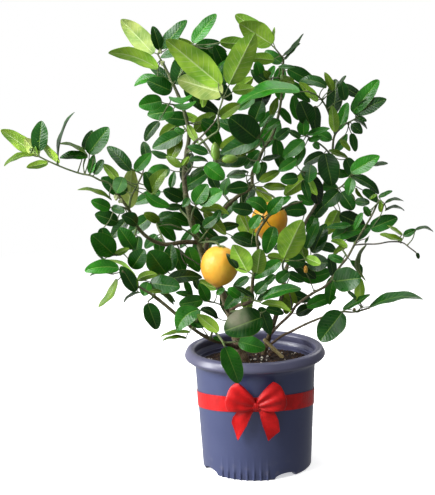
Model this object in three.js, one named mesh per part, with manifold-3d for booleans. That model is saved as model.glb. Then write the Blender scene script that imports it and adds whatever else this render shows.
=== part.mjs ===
// A young lemon tree in a plastic nursery pot, tied with a satin ribbon and bow.
// Millimetres, +Z up, front towards -Y. The origin is the middle of the pot's underside.
import * as THREE from 'three';
import { mergeVertices } from 'three/addons/utils/BufferGeometryUtils.js';
import Module from 'manifold-3d';

const wasm = await Module();
wasm.setup();

// ---------------------------------------------------------------- driving dimensions
const POT_HEIGHT = 197;
const RIM_RADIUS = 114;          // outermost edge of the rolled rim
const RIM_LIP = 17;              // height of the rolled rim
const RIM_OVERHANG = 16.5;       // rim edge to the wall just below the rim
const WALL = 2.4;                // thickness of the pot's wall
const WALL_TAPER = 8.5;          // wall radius lost from rim to foot
const FOOT_HEIGHT = 9;           // the floor stands this far above the ground
const FOOT_WIDTH = 9;            // radial width of the foot ring
const FOOT_ARCHES = 4;           // arched notches through the foot ring
const FOOT_TURN = -0.24;         // the front foot's middle, turned from straight ahead
const ARCH_WIDTH = 40;
const ARCH_HEIGHT = 7.5;
const FOOT_RIBS = 8;             // short upright ribs on the front foot
const RIB_SPACING = 0.122;
const BOSS_RADIUS = 13;          // flat centre pad under the floor
const SOIL_BELOW_RIM = 28;       // headspace between soil and rim crest
const STEM_IN_SOIL = 26;         // how deep the stems go into the soil

const RIBBON_WIDTH = 26;
const RIBBON_THICK = 0.9;
const RIBBON_HEIGHT = 113;       // middle of the ribbon above the ground, at the pot's sides
const RIBBON_TILT = 15;          // how much higher it runs at the front, and lower at the back
const BOW_HEIGHT = RIBBON_HEIGHT + RIBBON_TILT;
const BOW_LOOP_LENGTH = 43;
const BOW_LOOP_DEPTH = 17;
const BOW_LOOP_RISE = 0.42;      // radians that each loop rises from level
const BOW_WIDTH = 42;            // the bow's ribbon where a loop folds back
const BOW_PINCH = 11;            // and where the knot gathers it
const KNOT_WIDTH = 13;
const KNOT_HEIGHT = 13;
const KNOT_DEPTH = 9;
const TAIL_LENGTH = 50;

const TRUNK_RADIUS = 7.5;
const LEMON_DIAMETER = 58;
const LEMON_LENGTH = 62;
const LEAF_THICK = 1.3;
const LEAF_FULLEST = 0.58;       // widest a blade grows, as a share of its length
const LEAF_SLIMMEST = 0.42;      // slimmest a blade grows, as a share of its length
const LEAF_FOLD = 0.16;          // how far the blade's halves fold up about the midrib
const LEAF_ARCH = 0.07;          // how far the midrib arches, as a share of the length

const GAP = 0.34;                // clearance kept between pieces that meet
const CROWN_DEPTH = 1.4;         // how much deeper the limbs spread than their tables say
const SLIGHT_LEAF = 420;         // a leaf whose width times length is less is left out
const LEAF_ROOM = 6;             // distance that blades of different shoots try to keep
const SAMPLE_STEP = 8;           // spacing of the points that this distance is taken between

// The crown is set out as it is seen from EYE, straight at the front: a point has its
// x and z on the upright plane through the pot's axis, and its depth behind that plane.
const EYE_DISTANCE = 1840;
const EYE_HEIGHT = 680;
const DRAWN_SOIL = 169;          // soil level that the crown's heights were set out from

const SOIL_TOP = POT_HEIGHT - SOIL_BELOW_RIM;
const WALL_TOP_RADIUS = RIM_RADIUS - RIM_OVERHANG;
const LIFT = SOIL_TOP - DRAWN_SOIL;
const OVER_RIM = -(RIM_RADIUS + 9);   // depth of what hangs over the front of the rim

// ---------------------------------------------------------------- stems
// name: [what it grows from, radius at the root, radius at the end, route [x, z, depth]]
const STEMS = {
  trunk: [null, TRUNK_RADIUS, 4.4, [
    [-14, DRAWN_SOIL - STEM_IN_SOIL, 0], [-17, 170, 0], [-25, 194, 2], [-33, 222, 6],
    [-40, 255, 8], [-50, 285, 8], [-64, 315, 6], [-77, 342, 4], [-86, 370, 2],
    [-97, 405, 0], [-104, 446, 0]]],
  stem_second: [null, 4.8, 2.8, [
    [9, DRAWN_SOIL - STEM_IN_SOIL, 30], [12, 170, 30], [17, 192, 30], [24, 214, 28],
    [34, 240, 22], [44, 272, 14], [49, 300, 6], [54, 325, 0]]],
  limb_leader: [['trunk', 10], 4.2, 2.2, [
    [-106, 474, 4], [-101, 513, 8], [-96, 545, 12], [-104, 585, 18], [-118, 622, 24],
    [-133, 655, 28]]],
  limb_left: [['trunk', 8], 3.8, 2.2, [
    [-110, 371, -8], [-140, 368, -18], [-165, 378, -26], [-184, 398, -32],
    [-196, 425, -36], [-214, 452, -40]]],
  limb_low_left: [['trunk', 2], 3.6, 1.8, [
    [-50, 203, -22], [-72, 210, -40], [-97, 226, -54], [-125, 252, -64],
    [-160, 283, -68], [-186, 300, -70]]],
  limb_centre: [['trunk', 7], 3.6, 1.8, [
    [-68, 385, 24], [-55, 408, 38], [-40, 427, 44], [-20, 444, 46], [0, 457, 46],
    [3, 480, 44], [13, 500, 42], [22, 519, 42], [33, 533, 42], [43, 560, 44],
    [50, 592, 46], [53, 625, 48], [55, 656, 50]]],
  limb_front: [['trunk', 4], 3.2, 1.6, [
    [-28, 264, -14], [-12, 268, -40], [-3, 274, -62], [-2, 290, -74], [0, 312, -78],
    [5, 335, -74], [9, 357, -64], [8, 380, -56], [20, 401, -50], [30, 412, -46],
    [48, 421, -38], [64, 428, -30], [80, 432, -22]]],
  limb_right: [['stem_second', 3], 2.6, 1.4, [
    [38, 229, 18], [60, 250, 6], [68, 262, 2], [80, 272, -4], [98, 284, -12],
    [115, 293, -18], [126, 304, -22], [139, 324, -26], [152, 340, -28],
    [163, 360, -28], [176, 382, -26], [190, 405, -22], [201, 428, -18]]],
  limb_low_right: [['stem_second', 2], 2.3, 1.4, [
    [45, 213, 14], [60, 220, 2], [80, 230, -14], [94, 236, -26], [118, 245, -40],
    [143, 251, -50], [161, 250, -56], [186, 256, -62]]],
  limb_back_right: [['stem_second', 7], 2.8, 1.7, [
    [64, 352, 18], [78, 382, 38], [88, 403, 52], [102, 425, 64], [111, 442, 70],
    [120, 470, 74], [129, 503, 76], [134, 537, 74], [150, 553, 70]]],
  limb_fruit: [['limb_leader', 2], 2.3, 1.5, [
    [-80, 536, -14], [-69, 524, -28], [-61, 510, -38], [-55, 499, -42]]],
};

// ---------------------------------------------------------------- leaves
// A shoot: the node it belongs to, the stem and the route point that it grows from,
// twig radius, twig route [x, z, depth], leaves.
// A leaf: [base x, base z, tip x, tip z, width as seen, tone, bow].
// Tone: D dark, M mid, L light underside, P pale underside, O olive, K in shadow.
// Bow: how far the middle of the leaf bends up, or left where it stands upright.
const SHOOTS = [
  ['shoot_far_left', 'limb_left', 6, 1.6,
    [[-226, 469, -42], [-240, 474, -44], [-255, 482, -46], [-269, 485, -46],
      [-294, 494, -48], [-320, 506, -50], [-337, 515, -50]], [
      [-338, 517, -394, 559, 24, 'L', 0], [-337, 516, -357, 544, 22, 'P', 0],
      [-336, 523, -329, 571, 28, 'D', 0], [-343, 517, -393, 501, 9, 'O', 6],
      [-322, 504, -357, 498, 13, 'L', 0], [-304, 503, -336, 540, 12, 'L', 0],
      [-306, 508, -278, 584, 4, 'K', 6], [-258, 514, -305, 535, 6, 'O', 5],
      [-258, 512, -303, 512, 14, 'M', 3], [-257, 517, -223, 558, 30, 'D', 0],
      [-250, 514, -228, 538, 7, 'L', 0], [-256, 485, -248, 516, 13, 'M', 0],
      [-249, 484, -234, 507, 14, 'D', 0], [-223, 442, -277, 461, 7, 'O', 5]]],
  ['shoot_left_upper', 'limb_left', 5, 1.8,
    [[-193, 442, -34], [-183, 462, -30], [-172, 482, -26]], [
      [-196, 428, -189, 492, 29, 'P', 0], [-203, 478, -215, 453, 24, 'M', 0],
      [-211, 474, -234, 500, 15, 'L', 0], [-184, 488, -157, 515, 19, 'M', 0],
      [-161, 450, -133, 489, 22, 'O', 4], [-152, 452, -168, 486, 24, 'D', 0],
      [-168, 450, -130, 430, 18, 'M', -4]]],
  ['shoot_left_centre', 'limb_left', 2, 1.8,
    [[-146, 384, 4], [-152, 400, 22], [-152, 412, 36]], [
      [-145, 404, -111, 391, 17, 'M', 3], [-148, 405, -172, 420, 16, 'O', 0],
      [-150, 378, -148, 352, 18, 'M', 0], [-152, 380, -156, 358, 9, 'D', 0],
      [-150, 410, -124, 418, 16, 'D', 0]]],
  ['shoot_left_inner', 'trunk', 9, 1.8,
    [[-112, 422, 26], [-122, 440, 44], [-126, 456, 56]], [
      [-128, 459, -121, 486, 12, 'D', 0], [-108, 440, -140, 456, 23, 'D', 0],
      [-112, 428, -138, 428, 12, 'D', 0], [-118, 446, -96, 462, 14, 'D', 0]]],
  ['shoot_left_mid', 'limb_left', 5, 1.6,
    [[-206, 430, -50], [-218, 433, -58]], [
      [-226, 428, -256, 442, 20, 'M', 0], [-214, 406, -251, 420, 25, 'D', 0],
      [-224, 430, -203, 422, 14, 'D', 0], [-184, 401, -208, 417, 22, 'D', 3]]],
  ['shoot_left_low', 'limb_left', 4, 1.8,
    [[-190, 380, -48], [-203, 362, -62], [-219, 352, -72]], [
      [-223, 353, -258, 387, 37, 'M', 0], [-191, 362, -213, 397, 27, 'M', 0],
      [-222, 353, -198, 363, 11, 'L', 0], [-240, 345, -252, 357, 4, 'K', 0],
      [-195, 330, -174, 361, 30, 'D', 0]]],
  ['shoot_left_bottom', 'limb_low_left', 6, 1.6,
    [[-197, 312, -78], [-210, 326, -86]], [
      [-216, 331, -272, 328, 24, 'M', 4], [-225, 321, -264, 320, 6, 'D', 4],
      [-220, 313, -253, 268, 12, 'O', -6], [-190, 292, -213, 334, 24, 'D', 0],
      [-188, 297, -241, 346, 6, 'L', 14], [-183, 290, -211, 274, 5, 'K', 4]]],
  ['shoot_left_mass', 'limb_low_left', 5, 2.0,
    [[-160, 300, -52], [-152, 318, -36], [-142, 334, -20]], [
      [-140, 320, -166, 358, 41, 'M', 0], [-135, 324, -130, 368, 26, 'D', 0],
      [-167, 305, -118, 298, 31, 'D', 0], [-140, 309, -82, 313, 22, 'K', 4],
      [-187, 311, -154, 319, 15, 'L', 3], [-170, 307, -178, 284, 21, 'M', 0],
      [-158, 298, -126, 273, 9, 'D', 0], [-148, 290, -129, 269, 6, 'D', 0]]],
  ['shoot_drop', 'limb_low_left', 5, 1.4,
    [[-166, 279, -78], [-171, 275, -84]], [
      [-172, 272, -158, 228, 27, 'D', 0], [-168, 292, -148, 291, 8, 'O', 0]]],
  ['limb_leader', 'limb_leader', 6, 1.6,
    [[-138, 664, 30], [-141, 670, 30]], [
      [-147, 671, -196, 725, 32, 'P', 0], [-141, 648, -218, 675, 23, 'L', 6],
      [-139, 631, -180, 622, 14, 'M', 6], [-137, 676, -147, 713, 18, 'D', 0],
      [-135, 678, -94, 721, 21, 'D', 0]]],
  ['limb_leader', 'limb_leader', 5, 1.8,
    [[-104, 640, 8], [-92, 660, -6], [-87, 682, -14]], [
      [-86, 686, -48, 729, 21, 'M', 0], [-114, 622, -95, 674, 31, 'D', 0],
      [-121, 612, -159, 630, 28, 'D', 0]]],
  ['limb_fruit', 'limb_fruit', 0, 1.8,
    [[-62, 540, -40], [-49, 550, -50], [-49, 572, -54], [-41, 598, -54]], [
      [-43, 619, -127, 692, 43, 'L', 0], [-41, 607, -111, 630, 40, 'P', 0],
      [-31, 620, 11, 699, 42, 'L', 0]]],
  ['shoot_upper_outer', 'limb_leader', 4, 1.6,
    [[-116, 590, -6], [-126, 592, -22]], [
      [-137, 597, -174, 591, 26, 'M', 0], [-118, 581, -161, 576, 26, 'M', 0],
      [-126, 602, -88, 606, 9, 'M', -8], [-120, 590, -83, 596, 10, 'M', -7]]],
  ['shoot_upper_left', 'limb_leader', 3, 1.6,
    [[-104, 556, 40], [-110, 566, 56]], [
      [-96, 566, -134, 571, 24, 'D', 0], [-106, 576, -76, 562, 13, 'L', 0],
      [-112, 560, -143, 541, 20, 'L', 0], [-106, 545, -155, 523, 26, 'D', 0],
      [-103, 546, -119, 553, 10, 'M', 0]]],
  ['shoot_stem_side', 'limb_leader', 1, 1.6,
    [[-100, 484, -18], [-92, 492, -36]], [
      [-110, 492, -134, 510, 13, 'O', 0], [-108, 494, -97, 508, 8, 'L', 0],
      [-98, 501, -67, 500, 9, 'D', 4], [-96, 476, -73, 492, 9, 'K', 0],
      [-72, 495, -42, 471, 26, 'M', 0]]],
  ['shoot_centre_left', 'trunk', 9, 1.8,
    [[-94, 420, -26], [-88, 431, -48]], [
      [-91, 433, -69, 464, 27, 'M', 0], [-84, 433, -46, 453, 27, 'M', 0],
      [-82, 422, -36, 415, 14, 'L', 6], [-98, 442, -110, 428, 12, 'D', 0]]],
  ['shoot_mid_low', 'trunk', 8, 1.6,
    [[-78, 380, -26], [-72, 388, -40]], [
      [-70, 370, -39, 376, 13, 'D', 0], [-78, 395, -56, 410, 18, 'D', 0],
      [-95, 385, -84, 400, 13, 'M', 0], [-62, 400, -50, 422, 14, 'D', 0]]],
  ['shoot_centre', 'limb_centre', 5, 1.6,
    [[-4, 462, 20], [-6, 466, 0]], [
      [-4, 458, -40, 455, 21, 'D', 0], [-3, 481, -33, 477, 6, 'K', 2],
      [8, 478, 12, 499, 12, 'M', 0], [14, 466, 46, 482, 15, 'O', 0],
      [20, 458, 60, 455, 13, 'O', 0]]],
  ['shoot_centre_up', 'limb_centre', 8, 1.8,
    [[20, 530, 20], [14, 536, 0]], [
      [11, 533, -31, 569, 44, 'D', 0], [16, 535, -47, 512, 28, 'D', 0],
      [17, 530, -22, 508, 16, 'O', 0], [7, 560, 20, 593, 28, 'D', 0],
      [34, 570, 45, 598, 13, 'O', 0], [48, 562, 25, 548, 13, 'M', 0],
      [42, 532, 63, 549, 16, 'D', 0], [18, 500, 48, 506, 9, 'K', 0]]],
  ['shoot_top_right', 'limb_centre', 13, 1.5,
    [[50, 664, 40], [42, 674, 30]], [
      [38, 680, -12, 714, 38, 'L', 0], [30, 690, -18, 727, 25, 'L', 0],
      [41, 656, 0, 661, 19, 'L', 0], [39, 681, 42, 706, 5, 'O', 0],
      [55, 662, 86, 696, 6, 'K', -4], [57, 656, 81, 681, 5, 'K', 0]]],
  ['shoot_top_right_mid', 'limb_centre', 12, 1.5,
    [[44, 628, 24], [34, 628, 8]], [
      [47, 645, 73, 644, 7, 'D', 0], [48, 627, 72, 620, 14, 'O', 0],
      [36, 627, 24, 640, 12, 'O', 0], [30, 628, 41, 647, 11, 'M', 0],
      [19, 630, 13, 654, 18, 'M', 0], [36, 617, 4, 641, 22, 'D', 0]]],
  ['shoot_right_top', 'limb_back_right', 8, 1.6,
    [[128, 560, 50], [120, 582, 28], [108, 598, 8], [92, 606, -8]], [
      [80, 607, -22, 586, 21, 'M', 13], [108, 590, 79, 621, 14, 'L', 0],
      [122, 612, 80, 623, 16, 'D', 5], [132, 606, 119, 635, 12, 'O', 0],
      [138, 610, 152, 629, 6, 'K', 0], [150, 590, 144, 623, 17, 'D', 0]]],
  ['shoot_right_upper', 'limb_back_right', 9, 1.5,
    [[160, 558, 58], [170, 563, 48]], [
      [162, 571, 203, 621, 25, 'M', 0], [163, 570, 215, 591, 24, 'D', 0],
      [162, 560, 185, 545, 6, 'K', 3], [168, 565, 184, 557, 8, 'D', 0],
      [160, 553, 177, 538, 17, 'D', 0], [140, 545, 154, 587, 18, 'M', 0],
      [134, 541, 130, 583, 17, 'L', 0], [142, 530, 158, 511, 9, 'O', 0]]],
  ['shoot_right_inner', 'limb_back_right', 7, 1.6,
    [[116, 518, 52], [100, 530, 26], [88, 537, 6]], [
      [95, 555, 80, 591, 30, 'D', 0], [84, 537, 86, 565, 20, 'M', 0],
      [90, 538, 126, 548, 11, 'M', 0], [80, 534, 61, 546, 10, 'D', 0],
      [92, 529, 114, 534, 10, 'M', 0], [100, 525, 109, 515, 10, 'M', 0],
      [85, 529, 52, 503, 23, 'M', 0], [124, 513, 155, 500, 9, 'O', 0]]],
  ['shoot_centre_right', 'limb_back_right', 6, 1.6,
    [[106, 476, 44], [92, 478, 20], [80, 480, 0]], [
      [73, 500, 44, 482, 19, 'M', 0], [75, 470, 47, 467, 20, 'D', 0],
      [95, 491, 91, 462, 26, 'D', 0], [118, 508, 129, 456, 35, 'D', 0],
      [112, 456, 139, 452, 18, 'M', 0], [83, 466, 92, 433, 14, 'D', 0]]],
  ['shoot_right_mid', 'limb_back_right', 5, 1.6,
    [[128, 448, 46], [145, 456, 20], [158, 472, 0]], [
      [140, 448, 114, 423, 27, 'D', 0], [143, 446, 162, 417, 25, 'D', 0],
      [158, 477, 204, 502, 25, 'M', 0], [190, 488, 217, 490, 7, 'K', 0],
      [159, 471, 203, 442, 15, 'D', 4], [160, 469, 154, 440, 18, 'M', 0],
      [166, 452, 178, 436, 6, 'O', -3], [165, 430, 188, 428, 14, 'D', 0]]],
  ['limb_right', 'limb_right', 13, 1.2,
    [[206, 430, -22], [211, 426, -26]], [
      [200, 441, 187, 433, 5, 'O', 0], [202, 436, 224, 446, 7, 'D', 0],
      [211, 425, 242, 429, 5, 'K', 5], [212, 414, 243, 414, 5, 'K', 6],
      [205, 412, 206, 432, 8, 'O', 0], [189, 386, 232, 403, 25, 'D', 0],
      [188, 406, 179, 422, 11, 'M', 0], [176, 412, 163, 384, 11, 'M', 0]]],
  ['shoot_right_far', 'limb_right', 10, 1.3,
    [[180, 361, -34], [200, 361, -38], [220, 364, -40], [240, 362, -42],
      [252, 353, -44], [261, 346, -44]], [
      [263, 345, 266, 335, 6, 'K', 0], [182, 360, 182, 301, 8, 'O', -16],
      [180, 363, 186, 372, 4, 'K', 0], [240, 366, 204, 377, 9, 'O', 0],
      [241, 373, 262, 383, 12, 'D', 0], [258, 380, 289, 379, 5, 'K', 6],
      [240, 374, 216, 391, 6, 'O', 0]]],
  ['shoot_right_low', 'limb_right', 9, 1.6,
    [[146, 350, -8], [138, 362, 12]], [
      [127, 371, 175, 384, 23, 'M', 4], [152, 356, 126, 368, 10, 'L', 3],
      [150, 362, 129, 346, 9, 'O', 0], [146, 333, 121, 344, 13, 'M', 0],
      [157, 335, 173, 305, 12, 'D', 5], [158, 392, 119, 390, 11, 'D', 0]]],
  ['limb_right', 'limb_right', 7, 1.6,
    [[128, 304, -40], [131, 302, -54]], [
      [129, 301, 173, 306, 41, 'D', 0]]],
  ['limb_low_right', 'limb_low_right', 7, 1.3,
    [[168, 252, -64], [174, 258, -68]], [
      [144, 254, 188, 279, 12, 'D', 0], [171, 268, 172, 306, 17, 'L', 0],
      [186, 257, 273, 271, 16, 'D', 9], [152, 285, 166, 272, 6, 'D', 0]]],
  ['limb_low_right', 'limb_low_right', 6, 1.4,
    [[144, 252, -62], [146, 253, -74]], [
      [143, 250, 106, 203, 42, 'D', 0]]],
  ['shoot_light', 'limb_front', 5, 1.8,
    [[1, 314, -92], [0, 316, -98]], [
      [-8, 319, -31, 365, 34, 'L', 0], [6, 317, 13, 357, 27, 'L', 0],
      [-24, 326, -42, 351, 12, 'K', 0]]],
  ['shoot_front_low', 'limb_front', 3, 1.8,
    [[4, 272, -78], [10, 270, -88]], [
      [3, 284, 24, 305, 20, 'D', 0], [15, 275, 77, 291, 18, 'D', 5],
      [12, 267, 61, 252, 12, 'L', 6], [-22, 279, -41, 294, 17, 'M', 0],
      [0, 278, -30, 297, 9, 'K', 0]]],
  ['shoot_cross', 'limb_front', 9, 1.5,
    [[18, 408, -62], [12, 412, -70]], [
      [23, 417, -8, 436, 22, 'M', 5], [27, 413, 50, 441, 22, 'D', 0],
      [-2, 391, 13, 412, 18, 'M', 0], [2, 419, -32, 425, 22, 'D', 0],
      [0, 364, -34, 378, 12, 'K', 0]]],
  ['shoot_big_light', 'stem_second', 7, 2.0,
    [[50, 320, -30], [48, 330, -56], [50, 338, -72]], [
      [50, 341, 80, 403, 43, 'L', 0], [38, 303, 58, 319, 20, 'M', 0],
      [84, 333, 51, 340, 25, 'D', 0], [86, 341, 109, 330, 16, 'L', 0]]],
  ['shoot_right_dark', 'limb_back_right', 2, 1.8,
    [[86, 374, 30], [92, 362, 14]], [
      [86, 356, 106, 400, 17, 'D', 0], [97, 348, 118, 396, 27, 'D', 0],
      [88, 332, 121, 332, 29, 'K', 0], [88, 417, 50, 415, 26, 'D', 4]]],
  ['shoot_silver', 'trunk', 4, 2.0,
    [[-20, 256, -36], [0, 254, -56], [12, 252, -70]], [
      [14, 245, -49, 223, 49, 'M', 0], [10, 262, 26, 215, 23, 'D', 0]]],
  ['shoot_over_soil', 'limb_low_left', 1, 1.6,
    [[-38, 204, -50], [-30, 205, -66]], [
      [-26, 205, 17, 192, 27, 'M', 0], [-52, 208, -68, 213, 8, 'M', 0]]],
  ['shoot_low_left_front', 'limb_low_left', 3, 1.8,
    [[-92, 244, -72], [-88, 258, -84]], [
      [-88, 260, -126, 225, 33, 'M', 8], [-86, 261, -59, 244, 13, 'K', 4],
      [-78, 233, -98, 233, 9, 'M', 0], [-84, 232, -105, 241, 15, 'D', 0],
      [-104, 222, -154, 216, 7, 'O', 3], [-110, 212, -150, 210, 6, 'O', 3]]],
  ['shoot_rim', 'limb_low_left', 2, 2.0,
    [[-67, 223, -66], [-60, 217, -84], [-53, 207, -106], [-49, 198, OVER_RIM]], [
      [-48, 196, -27, 135, 33, 'M', 0], [-58, 222, -92, 252, 21, 'L', 0]]],
  ['shoot_mid_left_low', 'trunk', 4, 1.5,
    [[-54, 267, -14], [-71, 273, -30]], [
      [-82, 275, -121, 269, 23, 'M', 0], [-100, 284, -126, 289, 10, 'D', 0],
      [-73, 273, -87, 303, 19, 'M', 0], [-60, 284, -46, 294, 9, 'M', 0]]],
];

// ---------------------------------------------------------------- fruit
// name, middle [x, z, depth], diameter, length, direction of the tip [x, z],
// colour, stalk route from the fruit's top to a stem's route point
const FRUIT = [
  ['lemon_front', [-54, 331, -56], LEMON_DIAMETER, LEMON_LENGTH, [-0.15, -1], 0xf0b322,
    [[-58, 369, -40]], 'trunk', 8],
  ['lemon_back', [28, 403, 4], LEMON_DIAMETER, LEMON_LENGTH - 3, [-0.35, -1], 0xe89a12,
    [[36, 440, 24]], 'limb_centre', 5],
  ['green_fruit_upright', [-55, 515, -50], 14, 27, [-0.05, 1], 0x5f8a1e,
    [], 'limb_fruit', 4],
  ['green_fruit_level', [-33, 503, -50], 14, 24, [1, 0.05], 0x5f8a1e,
    [], 'limb_fruit', 4],
  ['fruitlet', [85, 322, -20], 6.5, 12, [0, 1], 0xd9962a,
    [[92, 302, -16]], 'limb_right', 5],
];

// ---------------------------------------------------------------- solids
function solidOf(geometry) {
  const bare = geometry.clone();
  bare.deleteAttribute('normal');
  bare.deleteAttribute('uv');
  const merged = mergeVertices(bare, 1e-4);
  return new wasm.Manifold(new wasm.Mesh({
    numProp: 3,
    vertProperties: new Float32Array(merged.attributes.position.array),
    triVerts: new Uint32Array(merged.index.array),
  }));
}

const TOUCH = 0.002;             // corners nearer than this would be taken for one
const APART = 0.02;              // how far each of them is drawn back

// Corners that touch without being joined, each drawn back towards the faces it belongs to.
function drawnApart(corners, faces) {
  const cornerAt = (i) => new THREE.Vector3().fromArray(corners, i * 3);
  const spots = new Map();
  for (let i = 0; i < corners.length / 3; i += 1) {
    const spot = cornerAt(i).divideScalar(TOUCH).round().toArray().join();
    spots.set(spot, [...(spots.get(spot) ?? []), i]);
  }
  const moved = corners.slice();
  for (const i of [...spots.values()].filter((list) => list.length > 1).flat()) {
    const pull = new THREE.Vector3();
    for (let f = 0; f < faces.length; f += 3) {
      const face = [...faces.subarray(f, f + 3)];
      if (face.includes(i)) face.forEach((other) => pull.add(cornerAt(other).sub(cornerAt(i))));
    }
    cornerAt(i).addScaledVector(pull.normalize(), APART).toArray(moved, i * 3);
  }
  return moved;
}

function geometryOf(solid) {
  const mesh = solid.getMesh();
  const corners = drawnApart(mesh.vertProperties, mesh.triVerts);
  const geometry = new THREE.BufferGeometry();
  geometry.setAttribute('position', new THREE.BufferAttribute(corners, 3));
  geometry.setIndex(new THREE.BufferAttribute(mesh.triVerts, 1));
  geometry.computeVertexNormals();
  return geometry;
}

const SHORTEST_EDGE = 0.25;      // slivers thinner than this are cleaned away

// The biggest piece of a solid: what stays joined when its neighbours are cut from it.
function mainPiece(solid) {
  const pieces = solid.simplify(SHORTEST_EDGE).decompose();
  return pieces.reduce((best, piece) => (piece.volume() > best.volume() ? piece : best));
}

// Where a drawn point really is.
function sight(x, z, depth) {
  const spread = (EYE_DISTANCE + depth) / EYE_DISTANCE;
  return new THREE.Vector3(x * spread, depth, EYE_HEIGHT + (z - EYE_HEIGHT) * spread + LIFT);
}

// Moves each point of a geometry; place gets the point and returns the new one.
function reshaped(geometry, place) {
  const position = geometry.attributes.position;
  const point = new THREE.Vector3();
  for (let i = 0; i < position.count; i += 1) {
    point.fromBufferAttribute(position, i);
    const moved = place(point);
    position.setXYZ(i, moved.x, moved.y, moved.z);
  }
  return geometry;
}

// A round bar bent along a row of points, its radius running evenly from root to end.
function bentBar(points, rootRadius, endRadius, sides) {
  const steps = points.length - 1;
  const unit = new THREE.CylinderGeometry(1, 1, 1, sides, steps);
  return solidOf(reshaped(unit, (point) => {
    const i = Math.round((0.5 - point.y) * steps);
    const along = points[Math.min(i + 1, steps)].clone().sub(points[Math.max(i - 1, 0)]).normalize();
    const side = new THREE.Vector3(0, 1, 0).cross(along).normalize();
    const up = new THREE.Vector3().crossVectors(along, side);
    const radius = THREE.MathUtils.lerp(rootRadius, endRadius, i / steps);
    return points[i].clone().addScaledVector(side, point.x * radius)
      .addScaledVector(up, point.z * radius);
  }));
}

// ---------------------------------------------------------------- stems
const BAR_STEP = 20;             // length of one straight stretch of a stem

function deepened(points) {
  return points.map(([x, z, depth]) => [x, z, depth * CROWN_DEPTH]);
}

function routeOf(name) {
  const [root, , , route] = STEMS[name];
  return root === null ? deepened(route) : [routeOf(root[0])[root[1]], ...deepened(route)];
}

// A drawn route as a smooth row of drawn points.
function smoothed(route, step = BAR_STEP) {
  const curve = new THREE.CatmullRomCurve3(
    route.map(([x, z, depth]) => new THREE.Vector3(x, depth, z)), false, 'centripetal');
  const count = Math.max(2, Math.round(curve.getLength() / step));
  return curve.getPoints(count).map((p) => [p.x, p.z, p.y]);
}

function stemSolid(route, rootRadius, endRadius, sides, extra = 0) {
  const points = smoothed(route).map((p) => sight(...p));
  const end = points.length - 1;
  const outward = points[end].clone().sub(points[end - 1]).normalize();
  points[end].addScaledVector(outward, extra);
  return bentBar(points, rootRadius + extra, endRadius + extra, sides);
}

// ---------------------------------------------------------------- one leaf
// The blade's outline: half width, as a share of the widest, at t from base to tip.
function fullness(t) {
  return Math.sin(Math.PI * THREE.MathUtils.clamp(t, 0, 1) ** 0.82) ** 0.85;
}

function leafFrame(leaf, baseDepth, lean) {
  const [x0, z0, x1, z1, seen, tone, bow] = leaf;
  const drawn = Math.hypot(x1 - x0, z1 - z0);
  const length = Math.max(drawn, seen / LEAF_FULLEST);
  const width = Math.max(seen / 0.94, LEAF_SLIMMEST * length);
  const turn = Math.acos(Math.min(1, seen / width));
  const across = [-(z1 - z0) / drawn, (x1 - x0) / drawn];
  const upright = across[1] < 0 ? -1 : 1;
  const underside = tone === 'L' || tone === 'P';
  const reach = -Math.min(32, Math.sqrt(length ** 2 - drawn ** 2)) * 0.8 + lean;
  return {
    base: [x0, z0, baseDepth],
    step: [x1 - x0, z1 - z0, reach],
    bend: [across[0] * upright * bow, across[1] * upright * bow],
    arch: (underside ? 1 : -1) * LEAF_ARCH * length,
    side: [across[0] * upright * Math.cos(turn), across[1] * upright * Math.cos(turn),
      (underside ? -1 : 1) * Math.sin(turn)],
    face: [across[0] * upright * Math.sin(turn), across[1] * upright * Math.sin(turn),
      (underside ? 1 : -1) * Math.cos(turn)],
    half: width / 2,
  };
}

// A point of the blade in the drawn frame: t along, u across (-1 to 1), v off the face.
function onLeaf(frame, t, u, v) {
  const hump = 4 * t * (1 - t);
  const half = Math.max(frame.half * fullness(t), 0.7);
  const off = v + Math.abs(u) * LEAF_FOLD * half;
  return [0, 1, 2].map((i) => {
    const bent = i === 2 ? frame.arch * hump : frame.bend[i] * hump;
    return frame.base[i] + frame.step[i] * t + bent
      + frame.side[i] * u * half + frame.face[i] * off;
  });
}

const LEAF_STATIONS = [0.25, 0.7];   // rings of a blade between its base and tip
const STALK_RADIUS = 0.85;
const STALK_JOIN = 0.03;         // how far along the blade its stalk runs in

// The blade: a flat four-sided spindle, folded along its midrib.
function bladeSolid(frame, extra) {
  const rings = LEAF_STATIONS.length + 1;
  const unit = new THREE.SphereGeometry(1, 4, rings);
  const flip = -Math.sign(new THREE.Vector3(...frame.step)
    .cross(new THREE.Vector3(...frame.side)).dot(new THREE.Vector3(...frame.face)));
  return solidOf(reshaped(unit, (point) => {
    const ring = Math.round((Math.acos(THREE.MathUtils.clamp(point.y, -1, 1)) / Math.PI) * rings);
    if (ring === 0) return sight(...onLeaf(frame, -extra * 0.01, 0, 0));
    if (ring === rings) return sight(...onLeaf(frame, 1 + extra * 0.01, 0, 0));
    const t = LEAF_STATIONS[ring - 1];
    const round = Math.hypot(point.x, point.z);
    const across = Math.round(point.x / round);
    const off = Math.round(point.z / round) * flip;
    const u = across * (1 + extra / (frame.half * fullness(t)));
    return sight(...onLeaf(frame, t, u, off * (LEAF_THICK / 2 + extra)));
  }));
}

function leafSolid(frame, root, extra = 0) {
  const from = sight(...root);
  const to = sight(...onLeaf(frame, STALK_JOIN, 0, 0));
  const outward = to.clone().sub(from).normalize();
  from.addScaledVector(outward, -STALK_RADIUS);
  const radius = STALK_RADIUS + extra;
  return bladeSolid(frame, extra).add(bentBar([from, to], radius, radius, 3));
}

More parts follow.
